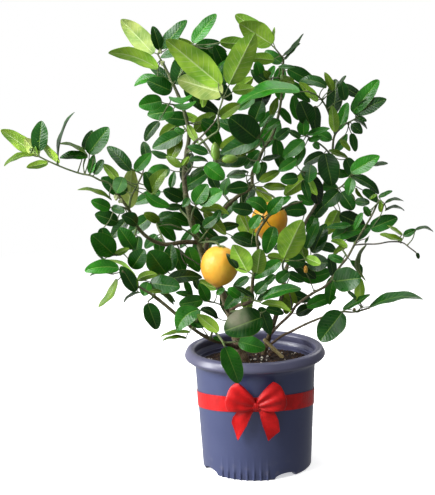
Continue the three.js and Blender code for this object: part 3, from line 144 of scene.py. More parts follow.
SHOOTS = [
  ["shoot_far_left", "limb_left", 6, 1.6,
    [[-226, 469, -42], [-240, 474, -44], [-255, 482, -46], [-269, 485, -46],
      [-294, 494, -48], [-320, 506, -50], [-337, 515, -50]], [
      [-338, 517, -394, 559, 24, "L", 0], [-337, 516, -357, 544, 22, "P", 0],
      [-336, 523, -329, 571, 28, "D", 0], [-343, 517, -393, 501, 9, "O", 6],
      [-322, 504, -357, 498, 13, "L", 0], [-304, 503, -336, 540, 12, "L", 0],
      [-306, 508, -278, 584, 4, "K", 6], [-258, 514, -305, 535, 6, "O", 5],
      [-258, 512, -303, 512, 14, "M", 3], [-257, 517, -223, 558, 30, "D", 0],
      [-250, 514, -228, 538, 7, "L", 0], [-256, 485, -248, 516, 13, "M", 0],
      [-249, 484, -234, 507, 14, "D", 0], [-223, 442, -277, 461, 7, "O", 5]]],
  ["shoot_left_upper", "limb_left", 5, 1.8,
    [[-193, 442, -34], [-183, 462, -30], [-172, 482, -26]], [
      [-196, 428, -189, 492, 29, "P", 0], [-203, 478, -215, 453, 24, "M", 0],
      [-211, 474, -234, 500, 15, "L", 0], [-184, 488, -157, 515, 19, "M", 0],
      [-161, 450, -133, 489, 22, "O", 4], [-152, 452, -168, 486, 24, "D", 0],
      [-168, 450, -130, 430, 18, "M", -4]]],
  ["shoot_left_centre", "limb_left", 2, 1.8,
    [[-146, 384, 4], [-152, 400, 22], [-152, 412, 36]], [
      [-145, 404, -111, 391, 17, "M", 3], [-148, 405, -172, 420, 16, "O", 0],
      [-150, 378, -148, 352, 18, "M", 0], [-152, 380, -156, 358, 9, "D", 0],
      [-150, 410, -124, 418, 16, "D", 0]]],
  ["shoot_left_inner", "trunk", 9, 1.8,
    [[-112, 422, 26], [-122, 440, 44], [-126, 456, 56]], [
      [-128, 459, -121, 486, 12, "D", 0], [-108, 440, -140, 456, 23, "D", 0],
      [-112, 428, -138, 428, 12, "D", 0], [-118, 446, -96, 462, 14, "D", 0]]],
  ["shoot_left_mid", "limb_left", 5, 1.6,
    [[-206, 430, -50], [-218, 433, -58]], [
      [-226, 428, -256, 442, 20, "M", 0], [-214, 406, -251, 420, 25, "D", 0],
      [-224, 430, -203, 422, 14, "D", 0], [-184, 401, -208, 417, 22, "D", 3]]],
  ["shoot_left_low", "limb_left", 4, 1.8,
    [[-190, 380, -48], [-203, 362, -62], [-219, 352, -72]], [
      [-223, 353, -258, 387, 37, "M", 0], [-191, 362, -213, 397, 27, "M", 0],
      [-222, 353, -198, 363, 11, "L", 0], [-240, 345, -252, 357, 4, "K", 0],
      [-195, 330, -174, 361, 30, "D", 0]]],
  ["shoot_left_bottom", "limb_low_left", 6, 1.6,
    [[-197, 312, -78], [-210, 326, -86]], [
      [-216, 331, -272, 328, 24, "M", 4], [-225, 321, -264, 320, 6, "D", 4],
      [-220, 313, -253, 268, 12, "O", -6], [-190, 292, -213, 334, 24, "D", 0],
      [-188, 297, -241, 346, 6, "L", 14], [-183, 290, -211, 274, 5, "K", 4]]],
  ["shoot_left_mass", "limb_low_left", 5, 2.0,
    [[-160, 300, -52], [-152, 318, -36], [-142, 334, -20]], [
      [-140, 320, -166, 358, 41, "M", 0], [-135, 324, -130, 368, 26, "D", 0],
      [-167, 305, -118, 298, 31, "D", 0], [-140, 309, -82, 313, 22, "K", 4],
      [-187, 311, -154, 319, 15, "L", 3], [-170, 307, -178, 284, 21, "M", 0],
      [-158, 298, -126, 273, 9, "D", 0], [-148, 290, -129, 269, 6, "D", 0]]],
  ["shoot_drop", "limb_low_left", 5, 1.4,
    [[-166, 279, -78], [-171, 275, -84]], [
      [-172, 272, -158, 228, 27, "D", 0], [-168, 292, -148, 291, 8, "O", 0]]],
  ["limb_leader", "limb_leader", 6, 1.6,
    [[-138, 664, 30], [-141, 670, 30]], [
      [-147, 671, -196, 725, 32, "P", 0], [-141, 648, -218, 675, 23, "L", 6],
      [-139, 631, -180, 622, 14, "M", 6], [-137, 676, -147, 713, 18, "D", 0],
      [-135, 678, -94, 721, 21, "D", 0]]],
  ["limb_leader", "limb_leader", 5, 1.8,
    [[-104, 640, 8], [-92, 660, -6], [-87, 682, -14]], [
      [-86, 686, -48, 729, 21, "M", 0], [-114, 622, -95, 674, 31, "D", 0],
      [-121, 612, -159, 630, 28, "D", 0]]],
  ["limb_fruit", "limb_fruit", 0, 1.8,
    [[-62, 540, -40], [-49, 550, -50], [-49, 572, -54], [-41, 598, -54]], [
      [-43, 619, -127, 692, 43, "L", 0], [-41, 607, -111, 630, 40, "P", 0],
      [-31, 620, 11, 699, 42, "L", 0]]],
  ["shoot_upper_outer", "limb_leader", 4, 1.6,
    [[-116, 590, -6], [-126, 592, -22]], [
      [-137, 597, -174, 591, 26, "M", 0], [-118, 581, -161, 576, 26, "M", 0],
      [-126, 602, -88, 606, 9, "M", -8], [-120, 590, -83, 596, 10, "M", -7]]],
  ["shoot_upper_left", "limb_leader", 3, 1.6,
    [[-104, 556, 40], [-110, 566, 56]], [
      [-96, 566, -134, 571, 24, "D", 0], [-106, 576, -76, 562, 13, "L", 0],
      [-112, 560, -143, 541, 20, "L", 0], [-106, 545, -155, 523, 26, "D", 0],
      [-103, 546, -119, 553, 10, "M", 0]]],
  ["shoot_stem_side", "limb_leader", 1, 1.6,
    [[-100, 484, -18], [-92, 492, -36]], [
      [-110, 492, -134, 510, 13, "O", 0], [-108, 494, -97, 508, 8, "L", 0],
      [-98, 501, -67, 500, 9, "D", 4], [-96, 476, -73, 492, 9, "K", 0],
      [-72, 495, -42, 471, 26, "M", 0]]],
  ["shoot_centre_left", "trunk", 9, 1.8,
    [[-94, 420, -26], [-88, 431, -48]], [
      [-91, 433, -69, 464, 27, "M", 0], [-84, 433, -46, 453, 27, "M", 0],
      [-82, 422, -36, 415, 14, "L", 6], [-98, 442, -110, 428, 12, "D", 0]]],
  ["shoot_mid_low", "trunk", 8, 1.6,
    [[-78, 380, -26], [-72, 388, -40]], [
      [-70, 370, -39, 376, 13, "D", 0], [-78, 395, -56, 410, 18, "D", 0],
      [-95, 385, -84, 400, 13, "M", 0], [-62, 400, -50, 422, 14, "D", 0]]],
  ["shoot_centre", "limb_centre", 5, 1.6,
    [[-4, 462, 20], [-6, 466, 0]], [
      [-4, 458, -40, 455, 21, "D", 0], [-3, 481, -33, 477, 6, "K", 2],
      [8, 478, 12, 499, 12, "M", 0], [14, 466, 46, 482, 15, "O", 0],
      [20, 458, 60, 455, 13, "O", 0]]],
  ["shoot_centre_up", "limb_centre", 8, 1.8,
    [[20, 530, 20], [14, 536, 0]], [
      [11, 533, -31, 569, 44, "D", 0], [16, 535, -47, 512, 28, "D", 0],
      [17, 530, -22, 508, 16, "O", 0], [7, 560, 20, 593, 28, "D", 0],
      [34, 570, 45, 598, 13, "O", 0], [48, 562, 25, 548, 13, "M", 0],
      [42, 532, 63, 549, 16, "D", 0], [18, 500, 48, 506, 9, "K", 0]]],
  ["shoot_top_right", "limb_centre", 13, 1.5,
    [[50, 664, 40], [42, 674, 30]], [
      [38, 680, -12, 714, 38, "L", 0], [30, 690, -18, 727, 25, "L", 0],
      [41, 656, 0, 661, 19, "L", 0], [39, 681, 42, 706, 5, "O", 0],
      [55, 662, 86, 696, 6, "K", -4], [57, 656, 81, 681, 5, "K", 0]]],
  ["shoot_top_right_mid", "limb_centre", 12, 1.5,
    [[44, 628, 24], [34, 628, 8]], [
      [47, 645, 73, 644, 7, "D", 0], [48, 627, 72, 620, 14, "O", 0],
      [36, 627, 24, 640, 12, "O", 0], [30, 628, 41, 647, 11, "M", 0],
      [19, 630, 13, 654, 18, "M", 0], [36, 617, 4, 641, 22, "D", 0]]],
  ["shoot_right_top", "limb_back_right", 8, 1.6,
    [[128, 560, 50], [120, 582, 28], [108, 598, 8], [92, 606, -8]], [
      [80, 607, -22, 586, 21, "M", 13], [108, 590, 79, 621, 14, "L", 0],
      [122, 612, 80, 623, 16, "D", 5], [132, 606, 119, 635, 12, "O", 0],
      [138, 610, 152, 629, 6, "K", 0], [150, 590, 144, 623, 17, "D", 0]]],
  ["shoot_right_upper", "limb_back_right", 9, 1.5,
    [[160, 558, 58], [170, 563, 48]], [
      [162, 571, 203, 621, 25, "M", 0], [163, 570, 215, 591, 24, "D", 0],
      [162, 560, 185, 545, 6, "K", 3], [168, 565, 184, 557, 8, "D", 0],
      [160, 553, 177, 538, 17, "D", 0], [140, 545, 154, 587, 18, "M", 0],
      [134, 541, 130, 583, 17, "L", 0], [142, 530, 158, 511, 9, "O", 0]]],
  ["shoot_right_inner", "limb_back_right", 7, 1.6,
    [[116, 518, 52], [100, 530, 26], [88, 537, 6]], [
      [95, 555, 80, 591, 30, "D", 0], [84, 537, 86, 565, 20, "M", 0],
      [90, 538, 126, 548, 11, "M", 0], [80, 534, 61, 546, 10, "D", 0],
      [92, 529, 114, 534, 10, "M", 0], [100, 525, 109, 515, 10, "M", 0],
      [85, 529, 52, 503, 23, "M", 0], [124, 513, 155, 500, 9, "O", 0]]],
  ["shoot_centre_right", "limb_back_right", 6, 1.6,
    [[106, 476, 44], [92, 478, 20], [80, 480, 0]], [
      [73, 500, 44, 482, 19, "M", 0], [75, 470, 47, 467, 20, "D", 0],
      [95, 491, 91, 462, 26, "D", 0], [118, 508, 129, 456, 35, "D", 0],
      [112, 456, 139, 452, 18, "M", 0], [83, 466, 92, 433, 14, "D", 0]]],
  ["shoot_right_mid", "limb_back_right", 5, 1.6,
    [[128, 448, 46], [145, 456, 20], [158, 472, 0]], [
      [140, 448, 114, 423, 27, "D", 0], [143, 446, 162, 417, 25, "D", 0],
      [158, 477, 204, 502, 25, "M", 0], [190, 488, 217, 490, 7, "K", 0],
      [159, 471, 203, 442, 15, "D", 4], [160, 469, 154, 440, 18, "M", 0],
      [166, 452, 178, 436, 6, "O", -3], [165, 430, 188, 428, 14, "D", 0]]],
  ["limb_right", "limb_right", 13, 1.2,
    [[206, 430, -22], [211, 426, -26]], [
      [200, 441, 187, 433, 5, "O", 0], [202, 436, 224, 446, 7, "D", 0],
      [211, 425, 242, 429, 5, "K", 5], [212, 414, 243, 414, 5, "K", 6],
      [205, 412, 206, 432, 8, "O", 0], [189, 386, 232, 403, 25, "D", 0],
      [188, 406, 179, 422, 11, "M", 0], [176, 412, 163, 384, 11, "M", 0]]],
  ["shoot_right_far", "limb_right", 10, 1.3,
    [[180, 361, -34], [200, 361, -38], [220, 364, -40], [240, 362, -42],
      [252, 353, -44], [261, 346, -44]], [
      [263, 345, 266, 335, 6, "K", 0], [182, 360, 182, 301, 8, "O", -16],
      [180, 363, 186, 372, 4, "K", 0], [240, 366, 204, 377, 9, "O", 0],
      [241, 373, 262, 383, 12, "D", 0], [258, 380, 289, 379, 5, "K", 6],
      [240, 374, 216, 391, 6, "O", 0]]],
  ["shoot_right_low", "limb_right", 9, 1.6,
    [[146, 350, -8], [138, 362, 12]], [
      [127, 371, 175, 384, 23, "M", 4], [152, 356, 126, 368, 10, "L", 3],
      [150, 362, 129, 346, 9, "O", 0], [146, 333, 121, 344, 13, "M", 0],
      [157, 335, 173, 305, 12, "D", 5], [158, 392, 119, 390, 11, "D", 0]]],
  ["limb_right", "limb_right", 7, 1.6,
    [[128, 304, -40], [131, 302, -54]], [
      [129, 301, 173, 306, 41, "D", 0]]],
  ["limb_low_right", "limb_low_right", 7, 1.3,
    [[168, 252, -64], [174, 258, -68]], [
      [144, 254, 188, 279, 12, "D", 0], [171, 268, 172, 306, 17, "L", 0],
      [186, 257, 273, 271, 16, "D", 9], [152, 285, 166, 272, 6, "D", 0]]],
  ["limb_low_right", "limb_low_right", 6, 1.4,
    [[144, 252, -62], [146, 253, -74]], [
      [143, 250, 106, 203, 42, "D", 0]]],
  ["shoot_light", "limb_front", 5, 1.8,
    [[1, 314, -92], [0, 316, -98]], [
      [-8, 319, -31, 365, 34, "L", 0], [6, 317, 13, 357, 27, "L", 0],
      [-24, 326, -42, 351, 12, "K", 0]]],
  ["shoot_front_low", "limb_front", 3, 1.8,
    [[4, 272, -78], [10, 270, -88]], [
      [3, 284, 24, 305, 20, "D", 0], [15, 275, 77, 291, 18, "D", 5],
      [12, 267, 61, 252, 12, "L", 6], [-22, 279, -41, 294, 17, "M", 0],
      [0, 278, -30, 297, 9, "K", 0]]],
  ["shoot_cross", "limb_front", 9, 1.5,
    [[18, 408, -62], [12, 412, -70]], [
      [23, 417, -8, 436, 22, "M", 5], [27, 413, 50, 441, 22, "D", 0],
      [-2, 391, 13, 412, 18, "M", 0], [2, 419, -32, 425, 22, "D", 0],
      [0, 364, -34, 378, 12, "K", 0]]],
  ["shoot_big_light", "stem_second", 7, 2.0,
    [[50, 320, -30], [48, 330, -56], [50, 338, -72]], [
      [50, 341, 80, 403, 43, "L", 0], [38, 303, 58, 319, 20, "M", 0],
      [84, 333, 51, 340, 25, "D", 0], [86, 341, 109, 330, 16, "L", 0]]],
  ["shoot_right_dark", "limb_back_right", 2, 1.8,
    [[86, 374, 30], [92, 362, 14]], [
      [86, 356, 106, 400, 17, "D", 0], [97, 348, 118, 396, 27, "D", 0],
      [88, 332, 121, 332, 29, "K", 0], [88, 417, 50, 415, 26, "D", 4]]],
  ["shoot_silver", "trunk", 4, 2.0,
    [[-20, 256, -36], [0, 254, -56], [12, 252, -70]], [
      [14, 245, -49, 223, 49, "S", 0], [10, 262, 26, 215, 23, "D", 0]]],
  ["shoot_over_soil", "limb_low_left", 1, 1.6,
    [[-38, 204, -50], [-30, 205, -66]], [
      [-26, 205, 17, 192, 27, "M", 0], [-52, 208, -68, 213, 8, "M", 0]]],
  ["shoot_low_left_front", "limb_low_left", 3, 1.8,
    [[-92, 244, -72], [-88, 258, -84]], [
      [-88, 260, -126, 225, 33, "M", 8], [-86, 261, -59, 244, 13, "K", 4],
      [-78, 233, -98, 233, 9, "M", 0], [-84, 232, -105, 241, 15, "D", 0],
      [-104, 222, -154, 216, 7, "O", 3], [-110, 212, -150, 210, 6, "O", 3]]],
  ["shoot_rim", "limb_low_left", 2, 2.0,
    [[-67, 223, -66], [-60, 217, -84], [-53, 207, -106], [-49, 198, OVER_RIM]], [
      [-48, 196, -27, 135, 33, "M", 0], [-58, 222, -92, 252, 21, "L", 0]]],
  ["shoot_mid_left_low", "trunk", 4, 1.5,
    [[-54, 267, -14], [-71, 273, -30]], [
      [-82, 275, -121, 269, 23, "M", 0], [-100, 284, -126, 289, 10, "D", 0],
      [-73, 273, -87, 303, 19, "M", 0], [-60, 284, -46, 294, 9, "M", 0]]],
]

FRUIT = [
  ["lemon_front", [-54, 331, -56], LEMON_DIAMETER, LEMON_LENGTH, [-0.15, -1],
    [[-58, 369, -40]], "trunk", 8],
  ["lemon_back", [28, 403, 4], LEMON_DIAMETER, LEMON_LENGTH - 3, [-0.35, -1],
    [[36, 440, 24]], "limb_centre", 5],
  ["green_fruit_upright", [-55, 515, -50], 14, 27, [-0.05, 1],
    [], "limb_fruit", 4],
  ["green_fruit_level", [-33, 503, -50], 14, 24, [1, 0.05],
    [], "limb_fruit", 4],
  ["fruitlet", [85, 322, -20], 6.5, 12, [0, 1],
    [[92, 302, -16]], "limb_right", 5],
]


# ---------------------------------------------------------------- the drawn layout
def sight(points):
    """Where drawn points (x, z, depth) really are, in millimetres."""
    x, z, depth = np.moveaxis(np.asarray(points, float), -1, 0)
    spread = (EYE_DISTANCE + depth) / EYE_DISTANCE
    return np.stack([x * spread, depth, EYE_HEIGHT + (z - EYE_HEIGHT) * spread + LIFT], -1)


def deepened(points):
    return [[x, z, depth * CROWN_DEPTH] for x, z, depth in points]


def route_of(name):
    root, _, _, route = STEMS[name]
    return deepened(route) if root is None else [route_of(root[0])[root[1]]] + deepened(route)


def catmull(points, shares):
    """Points at even shares of a centripetal Catmull-Rom curve through the given ones."""
    p = np.asarray(points, float)
    p = np.vstack([2 * p[0] - p[1], p, 2 * p[-1] - p[-2]])
    made = []
    for share in shares:
        place = share * (len(p) - 3)
        i = min(int(place), len(p) - 4)
        w = place - i
        a, b, c, d = p[i:i + 4]
        ab, bc, cd = (max(((q - r) ** 2).sum() ** 0.25, 1e-4) for q, r in ((b, a), (c, b), (d, c)))
        t1 = ((b - a) / ab - (c - a) / (ab + bc) + (c - b) / bc) * bc
        t2 = ((c - b) / bc - (d - b) / (bc + cd) + (d - c) / cd) * bc
        made.append(b + t1 * w + (-3 * b + 3 * c - 2 * t1 - t2) * w ** 2
                    + (2 * b - 2 * c + t1 + t2) * w ** 3)
    return np.array(made)


def smoothed(route, step=BAR_STEP):
    fine = catmull(route, np.linspace(0, 1, 201))
    length = np.linalg.norm(np.diff(fine, axis=0), axis=1).sum()
    count = max(2, math.floor(length / step + 0.5))
    return catmull(route, np.linspace(0, 1, count + 1))


def shoot_route(stem, index, way):
    return [route_of(stem)[index]] + deepened(way)


# ---------------------------------------------------------------- leaf placement
def fullness(t, roundness=0.85):
    """The blade's half width at t from base to tip, as a share of the widest."""
    return np.sin(np.pi * np.clip(t, 0, 1) ** 0.82) ** roundness


def leaf_frame(leaf, base_depth, lean):
    x0, z0, x1, z1, seen, tone, bow = leaf
    drawn = math.hypot(x1 - x0, z1 - z0)
    length = max(drawn, seen / LEAF_FULLEST)
    width = max(seen / 0.94, LEAF_SLIMMEST * length)
    turn = math.acos(min(1, seen / width))
    across = np.array([-(z1 - z0), x1 - x0]) / drawn
    upright = -1 if across[1] < 0 else 1
    under = -1 if tone in "LP" else 1
    reach = -min(32, math.sqrt(max(0, length ** 2 - drawn ** 2))) * 0.8 + lean
    side, off = across * upright * math.cos(turn), across * upright * math.sin(turn)
    return {
        "base": np.array([x0, z0, base_depth]),
        "step": np.array([x1 - x0, z1 - z0, reach]),
        "bend": np.array([*(across * upright * bow), -under * LEAF_ARCH * length]),
        "side": np.array([*side, under * math.sin(turn)]),
        "face": np.array([*off, -under * math.cos(turn)]),
        "half": width / 2,
        "length": length,
        "tone": tone,
    }


def on_leaf(f, t, u, v, least=0.7, soft=0.0, roundness=0.85):
    """Drawn points of the blade: t along, u across from -1 to 1, v off its upper face."""
    t, u, v = (np.asarray(a, float)[..., None] for a in (t, u, v))
    half = np.maximum(f["half"] * fullness(t, roundness), least)
    rise = (np.sqrt(u ** 2 + soft) - math.sqrt(soft)) * LEAF_FOLD * half
    return (f["base"] + f["step"] * t + f["bend"] * 4 * t * (1 - t)
            + f["side"] * u * half + f["face"] * (v + rise))


def leaf_samples(f, root):
    rows = max(4, math.ceil(np.linalg.norm(f["step"]) / SAMPLE_STEP))
    columns = max(1, math.ceil(f["half"] / SAMPLE_STEP))
    t, u = patch(np.arange(1, rows + 1) / rows, np.arange(-columns, columns + 1) / columns * 0.85)
    stalk = [root + (f["base"] - root) * share for share in (0.5, 0.8)]
    return sight(np.vstack([on_leaf(f, t, u, 0 * t).reshape(-1, 3), stalk]))


crowd = {"owner": [], "point": [], "room": []}


def crowd_in(owner, points, room=LEAF_ROOM):
    for point in points:
        crowd["owner"].append(owner)
        crowd["point"].append(point)
        crowd["room"].append(room)


def room_for(samples, points, rooms):
    if not len(points):
        return math.inf
    away = np.linalg.norm(points[:, None] - samples[None], axis=2).min(axis=1) - rooms
    least = np.minimum.accumulate(away)
    tight = np.nonzero(least < -LEAF_ROOM)[0]
    return least[tight[0]] if len(tight) else least[-1]


OWN_TWIG = 12                    # a filling leaf may come this near the twig that it grows from
SHIFTS = [0, -14, 14, -28, 28]
LEANS = [0, 12, -12, 24, -24, 38, -38]
CHOICES = sorted(((s, l) for s in SHIFTS for l in LEANS), key=lambda c: abs(c[0]) + abs(c[1]))


def placed_leaf(leaf, root, natural, owner):
    """The first way of holding the leaf that keeps clear of what is already there."""
    points, rooms = np.array(crowd["point"]), np.array(crowd["room"])
    away = np.linalg.norm(points - sight(root), axis=1)
    near = (away < 260) & np.array([o != owner for o in crowd["owner"]])
    if owner is None:
        near &= away > OWN_TWIG
    points, rooms = points[near], rooms[near]
    chosen, most = None, -math.inf
    for shift, lean in CHOICES:
        f = leaf_frame(leaf, root[2] + shift, natural + lean)
        room = room_for(leaf_samples(f, root), points, rooms)
        if room > most:
            chosen, most = f, room
        if most > 0:
            break
    return chosen


def nearest_on_twig(route, x, z):
    path = smoothed(route)
    spots = [path[i - 1] + (path[i] - path[i - 1]) * (s + 0.43) / 8
             for i in range(1, len(path)) for s in range(5 if i == 1 else 0, 8)]
    return min(spots, key=lambda p: math.hypot(p[0] - x, p[1] - z))


def is_slight(leaf):
    return leaf[4] * math.hypot(leaf[2] - leaf[0], leaf[3] - leaf[1]) < SLIGHT_LEAF


# ---------------------------------------------------------------- mesh making
def patch(rows, columns):
    """Where each point of a rows by columns patch is, along and across."""
    return np.meshgrid(rows, columns, indexing="ij")


def in_scene(name, data):
    made = bpy.data.objects.new(name, data)
    bpy.context.scene.collection.objects.link(made)
    return made


class Maker:
    """Gathers one piece's mesh, in millimetres, with a tint and a map for its materials."""

    def __init__(self, slots):
        self.slots = slots
        self.points, self.tints, self.maps, self.faces, self.kinds = [], [], [], [], []

    def add(self, points, faces, slot, tint, uv):
        start = sum(len(p) for p in self.points)
        points = np.asarray(points, float)
        self.points.append(points)
        self.tints.append(np.broadcast_to(np.asarray(tint, float), (len(points), 3)))
        self.maps.append(np.asarray(uv, float))
        self.faces += [tuple(start + i for i in face) for face in faces]
        self.kinds += [self.slots.index(slot)] * len(faces)

    def grid(self, points, slot, tint, uv, close=False, flip=False):
        """A rows by columns patch; close joins its last column to its first."""
        rows, columns = points.shape[:2]
        width = columns if close else columns - 1
        faces = [(r * columns + c, r * columns + (c + 1) % columns,
                  (r + 1) * columns + (c + 1) % columns, (r + 1) * columns + c)
                 for r in range(rows - 1) for c in range(width)]
        if flip:
            faces = [face[::-1] for face in faces]
        tint = np.broadcast_to(np.asarray(tint, float), points.shape).reshape(-1, 3)
        self.add(points.reshape(-1, 3), faces, slot, tint, uv.reshape(-1, 2))

    def slab(self, top, bottom, slots, tints, uv):
        """A thin sheet with an upper face, a lower face and a rim between them."""
        self.grid(top, slots[0], tints[0], uv)
        self.grid(bottom, slots[1], tints[1], uv, flip=True)
        rows, columns = top.shape[:2]
        border = ([(0, c) for c in range(columns)] + [(r, columns - 1) for r in range(1, rows)]
                  + [(rows - 1, c) for c in range(columns - 2, -1, -1)]
                  + [(r, 0) for r in range(rows - 2, 0, -1)])
        offset = sum(len(p) for p in self.points)
        upper = offset - 2 * rows * columns
        lower = offset - rows * columns
        ring = [r * columns + c for r, c in border]
        for a, b in zip(ring, ring[1:] + ring[:1]):
            self.faces.append((upper + b, upper + a, lower + a, lower + b))
            self.kinds.append(self.slots.index(slots[1]))

    def piece(self, name, record_slot, nodes, creases=50):
        mesh = bpy.data.meshes.new(name)
        mesh.from_pydata(np.vstack(self.points) * MM, [], self.faces)
        mesh.polygons.foreach_set("material_index", self.kinds)
        tint = mesh.attributes.new("tint", "FLOAT_COLOR", "POINT")
        rows = np.vstack(self.tints)
        tint.data.foreach_set("color", np.hstack([rows, np.ones((len(rows), 1))]).ravel())
        layer = mesh.uv_layers.new(name="along")
        corner = np.empty(len(mesh.loops), int)
        mesh.loops.foreach_get("vertex_index", corner)
        layer.data.foreach_set("uv", np.vstack(self.maps)[corner].ravel())
        for slot in self.slots:
            mesh.materials.append(MATERIALS[slot])
        mesh.validate()
        made = bmesh.new()
        made.from_mesh(mesh)
        bmesh.ops.recalc_face_normals(made, faces=made.faces)
        made.to_mesh(mesh)
        made.free()
        mesh.shade_smooth()
        mesh.set_sharp_from_angle(angle=math.radians(creases))
        piece = in_scene(name, mesh)
        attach(piece, "root")
        if nodes:
            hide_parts(*nodes)
        return piece


def rough(point, size):
    return noise.noise(Vector(point) / size)


def tube(maker, path, radii, slot, tints, sides=8, wobble=0.0):
    """A stem along real points, rounded off at its end."""
    path = np.asarray(path, float)
    along = np.gradient(path, axis=0)
    along /= np.linalg.norm(along, axis=1)[:, None]
    side = np.cross([0.02, 1, 0.01], along)
    side /= np.linalg.norm(side, axis=1)[:, None]
    up = np.cross(along, side)
    run = np.concatenate([[0], np.cumsum(np.linalg.norm(np.diff(path, axis=0), axis=1))])
    angle = np.arange(sides + 1) / sides * 2 * np.pi
    rings, uv = [], []
    ends = [(1.0, 0.55), (0.72, 0.9), (0.0, 1.0)]
    for i in range(len(path)):
        r = np.full(sides + 1, radii[i])
        if wobble:
            spots = path[i] + np.outer(np.cos(angle), side[i]) * 9 + np.outer(np.sin(angle), up[i]) * 9
            r = r * (1 + wobble * np.array([rough(s * [1, 1, 0.35], 6.0) for s in spots]))
        rings.append(path[i] + np.outer(np.cos(angle) * r, side[i]) + np.outer(np.sin(angle) * r, up[i]))
        uv.append(np.stack([angle / (2 * np.pi), np.full(sides + 1, run[i] / 10)], 1))
    for share, out in ends:
        tip = path[-1] + along[-1] * radii[-1] * out
        rings.append(tip + np.outer(np.cos(angle), side[-1]) * radii[-1] * share
                     + np.outer(np.sin(angle), up[-1]) * radii[-1] * share)
        uv.append(np.stack([angle / (2 * np.pi), np.full(sides + 1, run[-1] / 10)], 1))
    tints = np.asarray(tints, float)
    if tints.ndim == 1:
        tints = np.tile(tints, (len(path), 1))
    tints = np.vstack([tints, np.tile(tints[-1], (len(ends), 1))])
    rings = np.array(rings)
    points, uv = rings[:, :-1], np.array(uv)[:, :-1]
    maker.grid(points, slot, np.repeat(tints[:, None], sides, 1), uv, close=True)


# ---------------------------------------------------------------- materials
class Graph:
    """A material being wired up round one Principled shader."""

    def __init__(self, name):
        self.material = bpy.data.materials.new(name)
        self.material.use_nodes = True
        self.tree = self.material.node_tree
        self.shader = self.tree.nodes["Principled BSDF"]

    def node(self, kind, values=(), **settings):
        made = self.tree.nodes.new(kind)
        for key, value in settings.items():
            setattr(made, key, value)
        for key, value in dict(values).items():
            self.feed(value, made.inputs[key])
        return made

    def feed(self, value, socket):
        if isinstance(value, bpy.types.NodeSocket):
            self.tree.links.new(value, socket)
        else:
            socket.default_value = value

    def math(self, operation, a, b=0.0):
        return self.node("ShaderNodeMath", {0: a, 1: b}, operation=operation).outputs[0]

    def plus(self, a, b):
        return self.math("ADD", a, b)

    def minus(self, a, b):
        return self.math("SUBTRACT", a, b)

    def times(self, a, b):
        return self.math("MULTIPLY", a, b)

    def band(self, value, low, high):
        """0 below low, 1 above high, or the other way where high is the lower."""
        made = self.node("ShaderNodeMapRange", {"Value": value, "From Min": low, "From Max": high},
                         interpolation_type="SMOOTHSTEP")
        return made.outputs[0]

    def mix(self, share, a, b, way="MIX"):
        made = self.node("ShaderNodeMix", data_type="RGBA", blend_type=way)
        self.feed(share, made.inputs[0])
        self.feed(a, made.inputs[6])
        self.feed(b, made.inputs[7])
        return made.outputs[2]

    def shaded(self, tint, r, g, b):
        """The tint with each of its colours made stronger or weaker."""
        return self.mix(1.0, tint, rgba(r, g, b), "MULTIPLY")

    def tint(self):
        return self.node("ShaderNodeAttribute", attribute_name="tint").outputs["Color"]

    def along(self):
        uv = self.node("ShaderNodeUVMap", uv_map="along").outputs[0]
        split = self.node("ShaderNodeSeparateXYZ", {0: uv})
        return uv, split.outputs[0], split.outputs[1]

    def spot(self):
        return self.node("ShaderNodeTexCoord").outputs["Object"]

    def noise(self, scale, detail=3.0, vector=None, roughness=0.5):
        made = self.node("ShaderNodeTexNoise", {"Scale": scale, "Detail": detail, "Roughness": roughness,
                                                "Vector": vector or self.spot()})
        return made.outputs[0]

    def cells(self, scale):
        return self.node("ShaderNodeTexVoronoi", {"Scale": scale, "Vector": self.spot()}).outputs[0]

    def bump(self, height, distance, strength=1.0, under=None):
        values = {"Height": height, "Distance": distance, "Strength": strength}
        if under is not None:
            values["Normal"] = under
        return self.node("ShaderNodeBump", values).outputs[0]

    def finish(self, colour, roughness, normal=None, **fixed):
        self.feed(colour, self.shader.inputs["Base Color"])
        self.feed(roughness, self.shader.inputs["Roughness"])
        if normal is not None:
            self.feed(normal, self.shader.inputs["Normal"])
        for key, value in fixed.items():
            self.shader.inputs[key.replace("_", " ").title().replace("Ior", "IOR")].default_value = value
        return self.material


def rgba(r, g, b):
    return (r, g, b, 1.0)


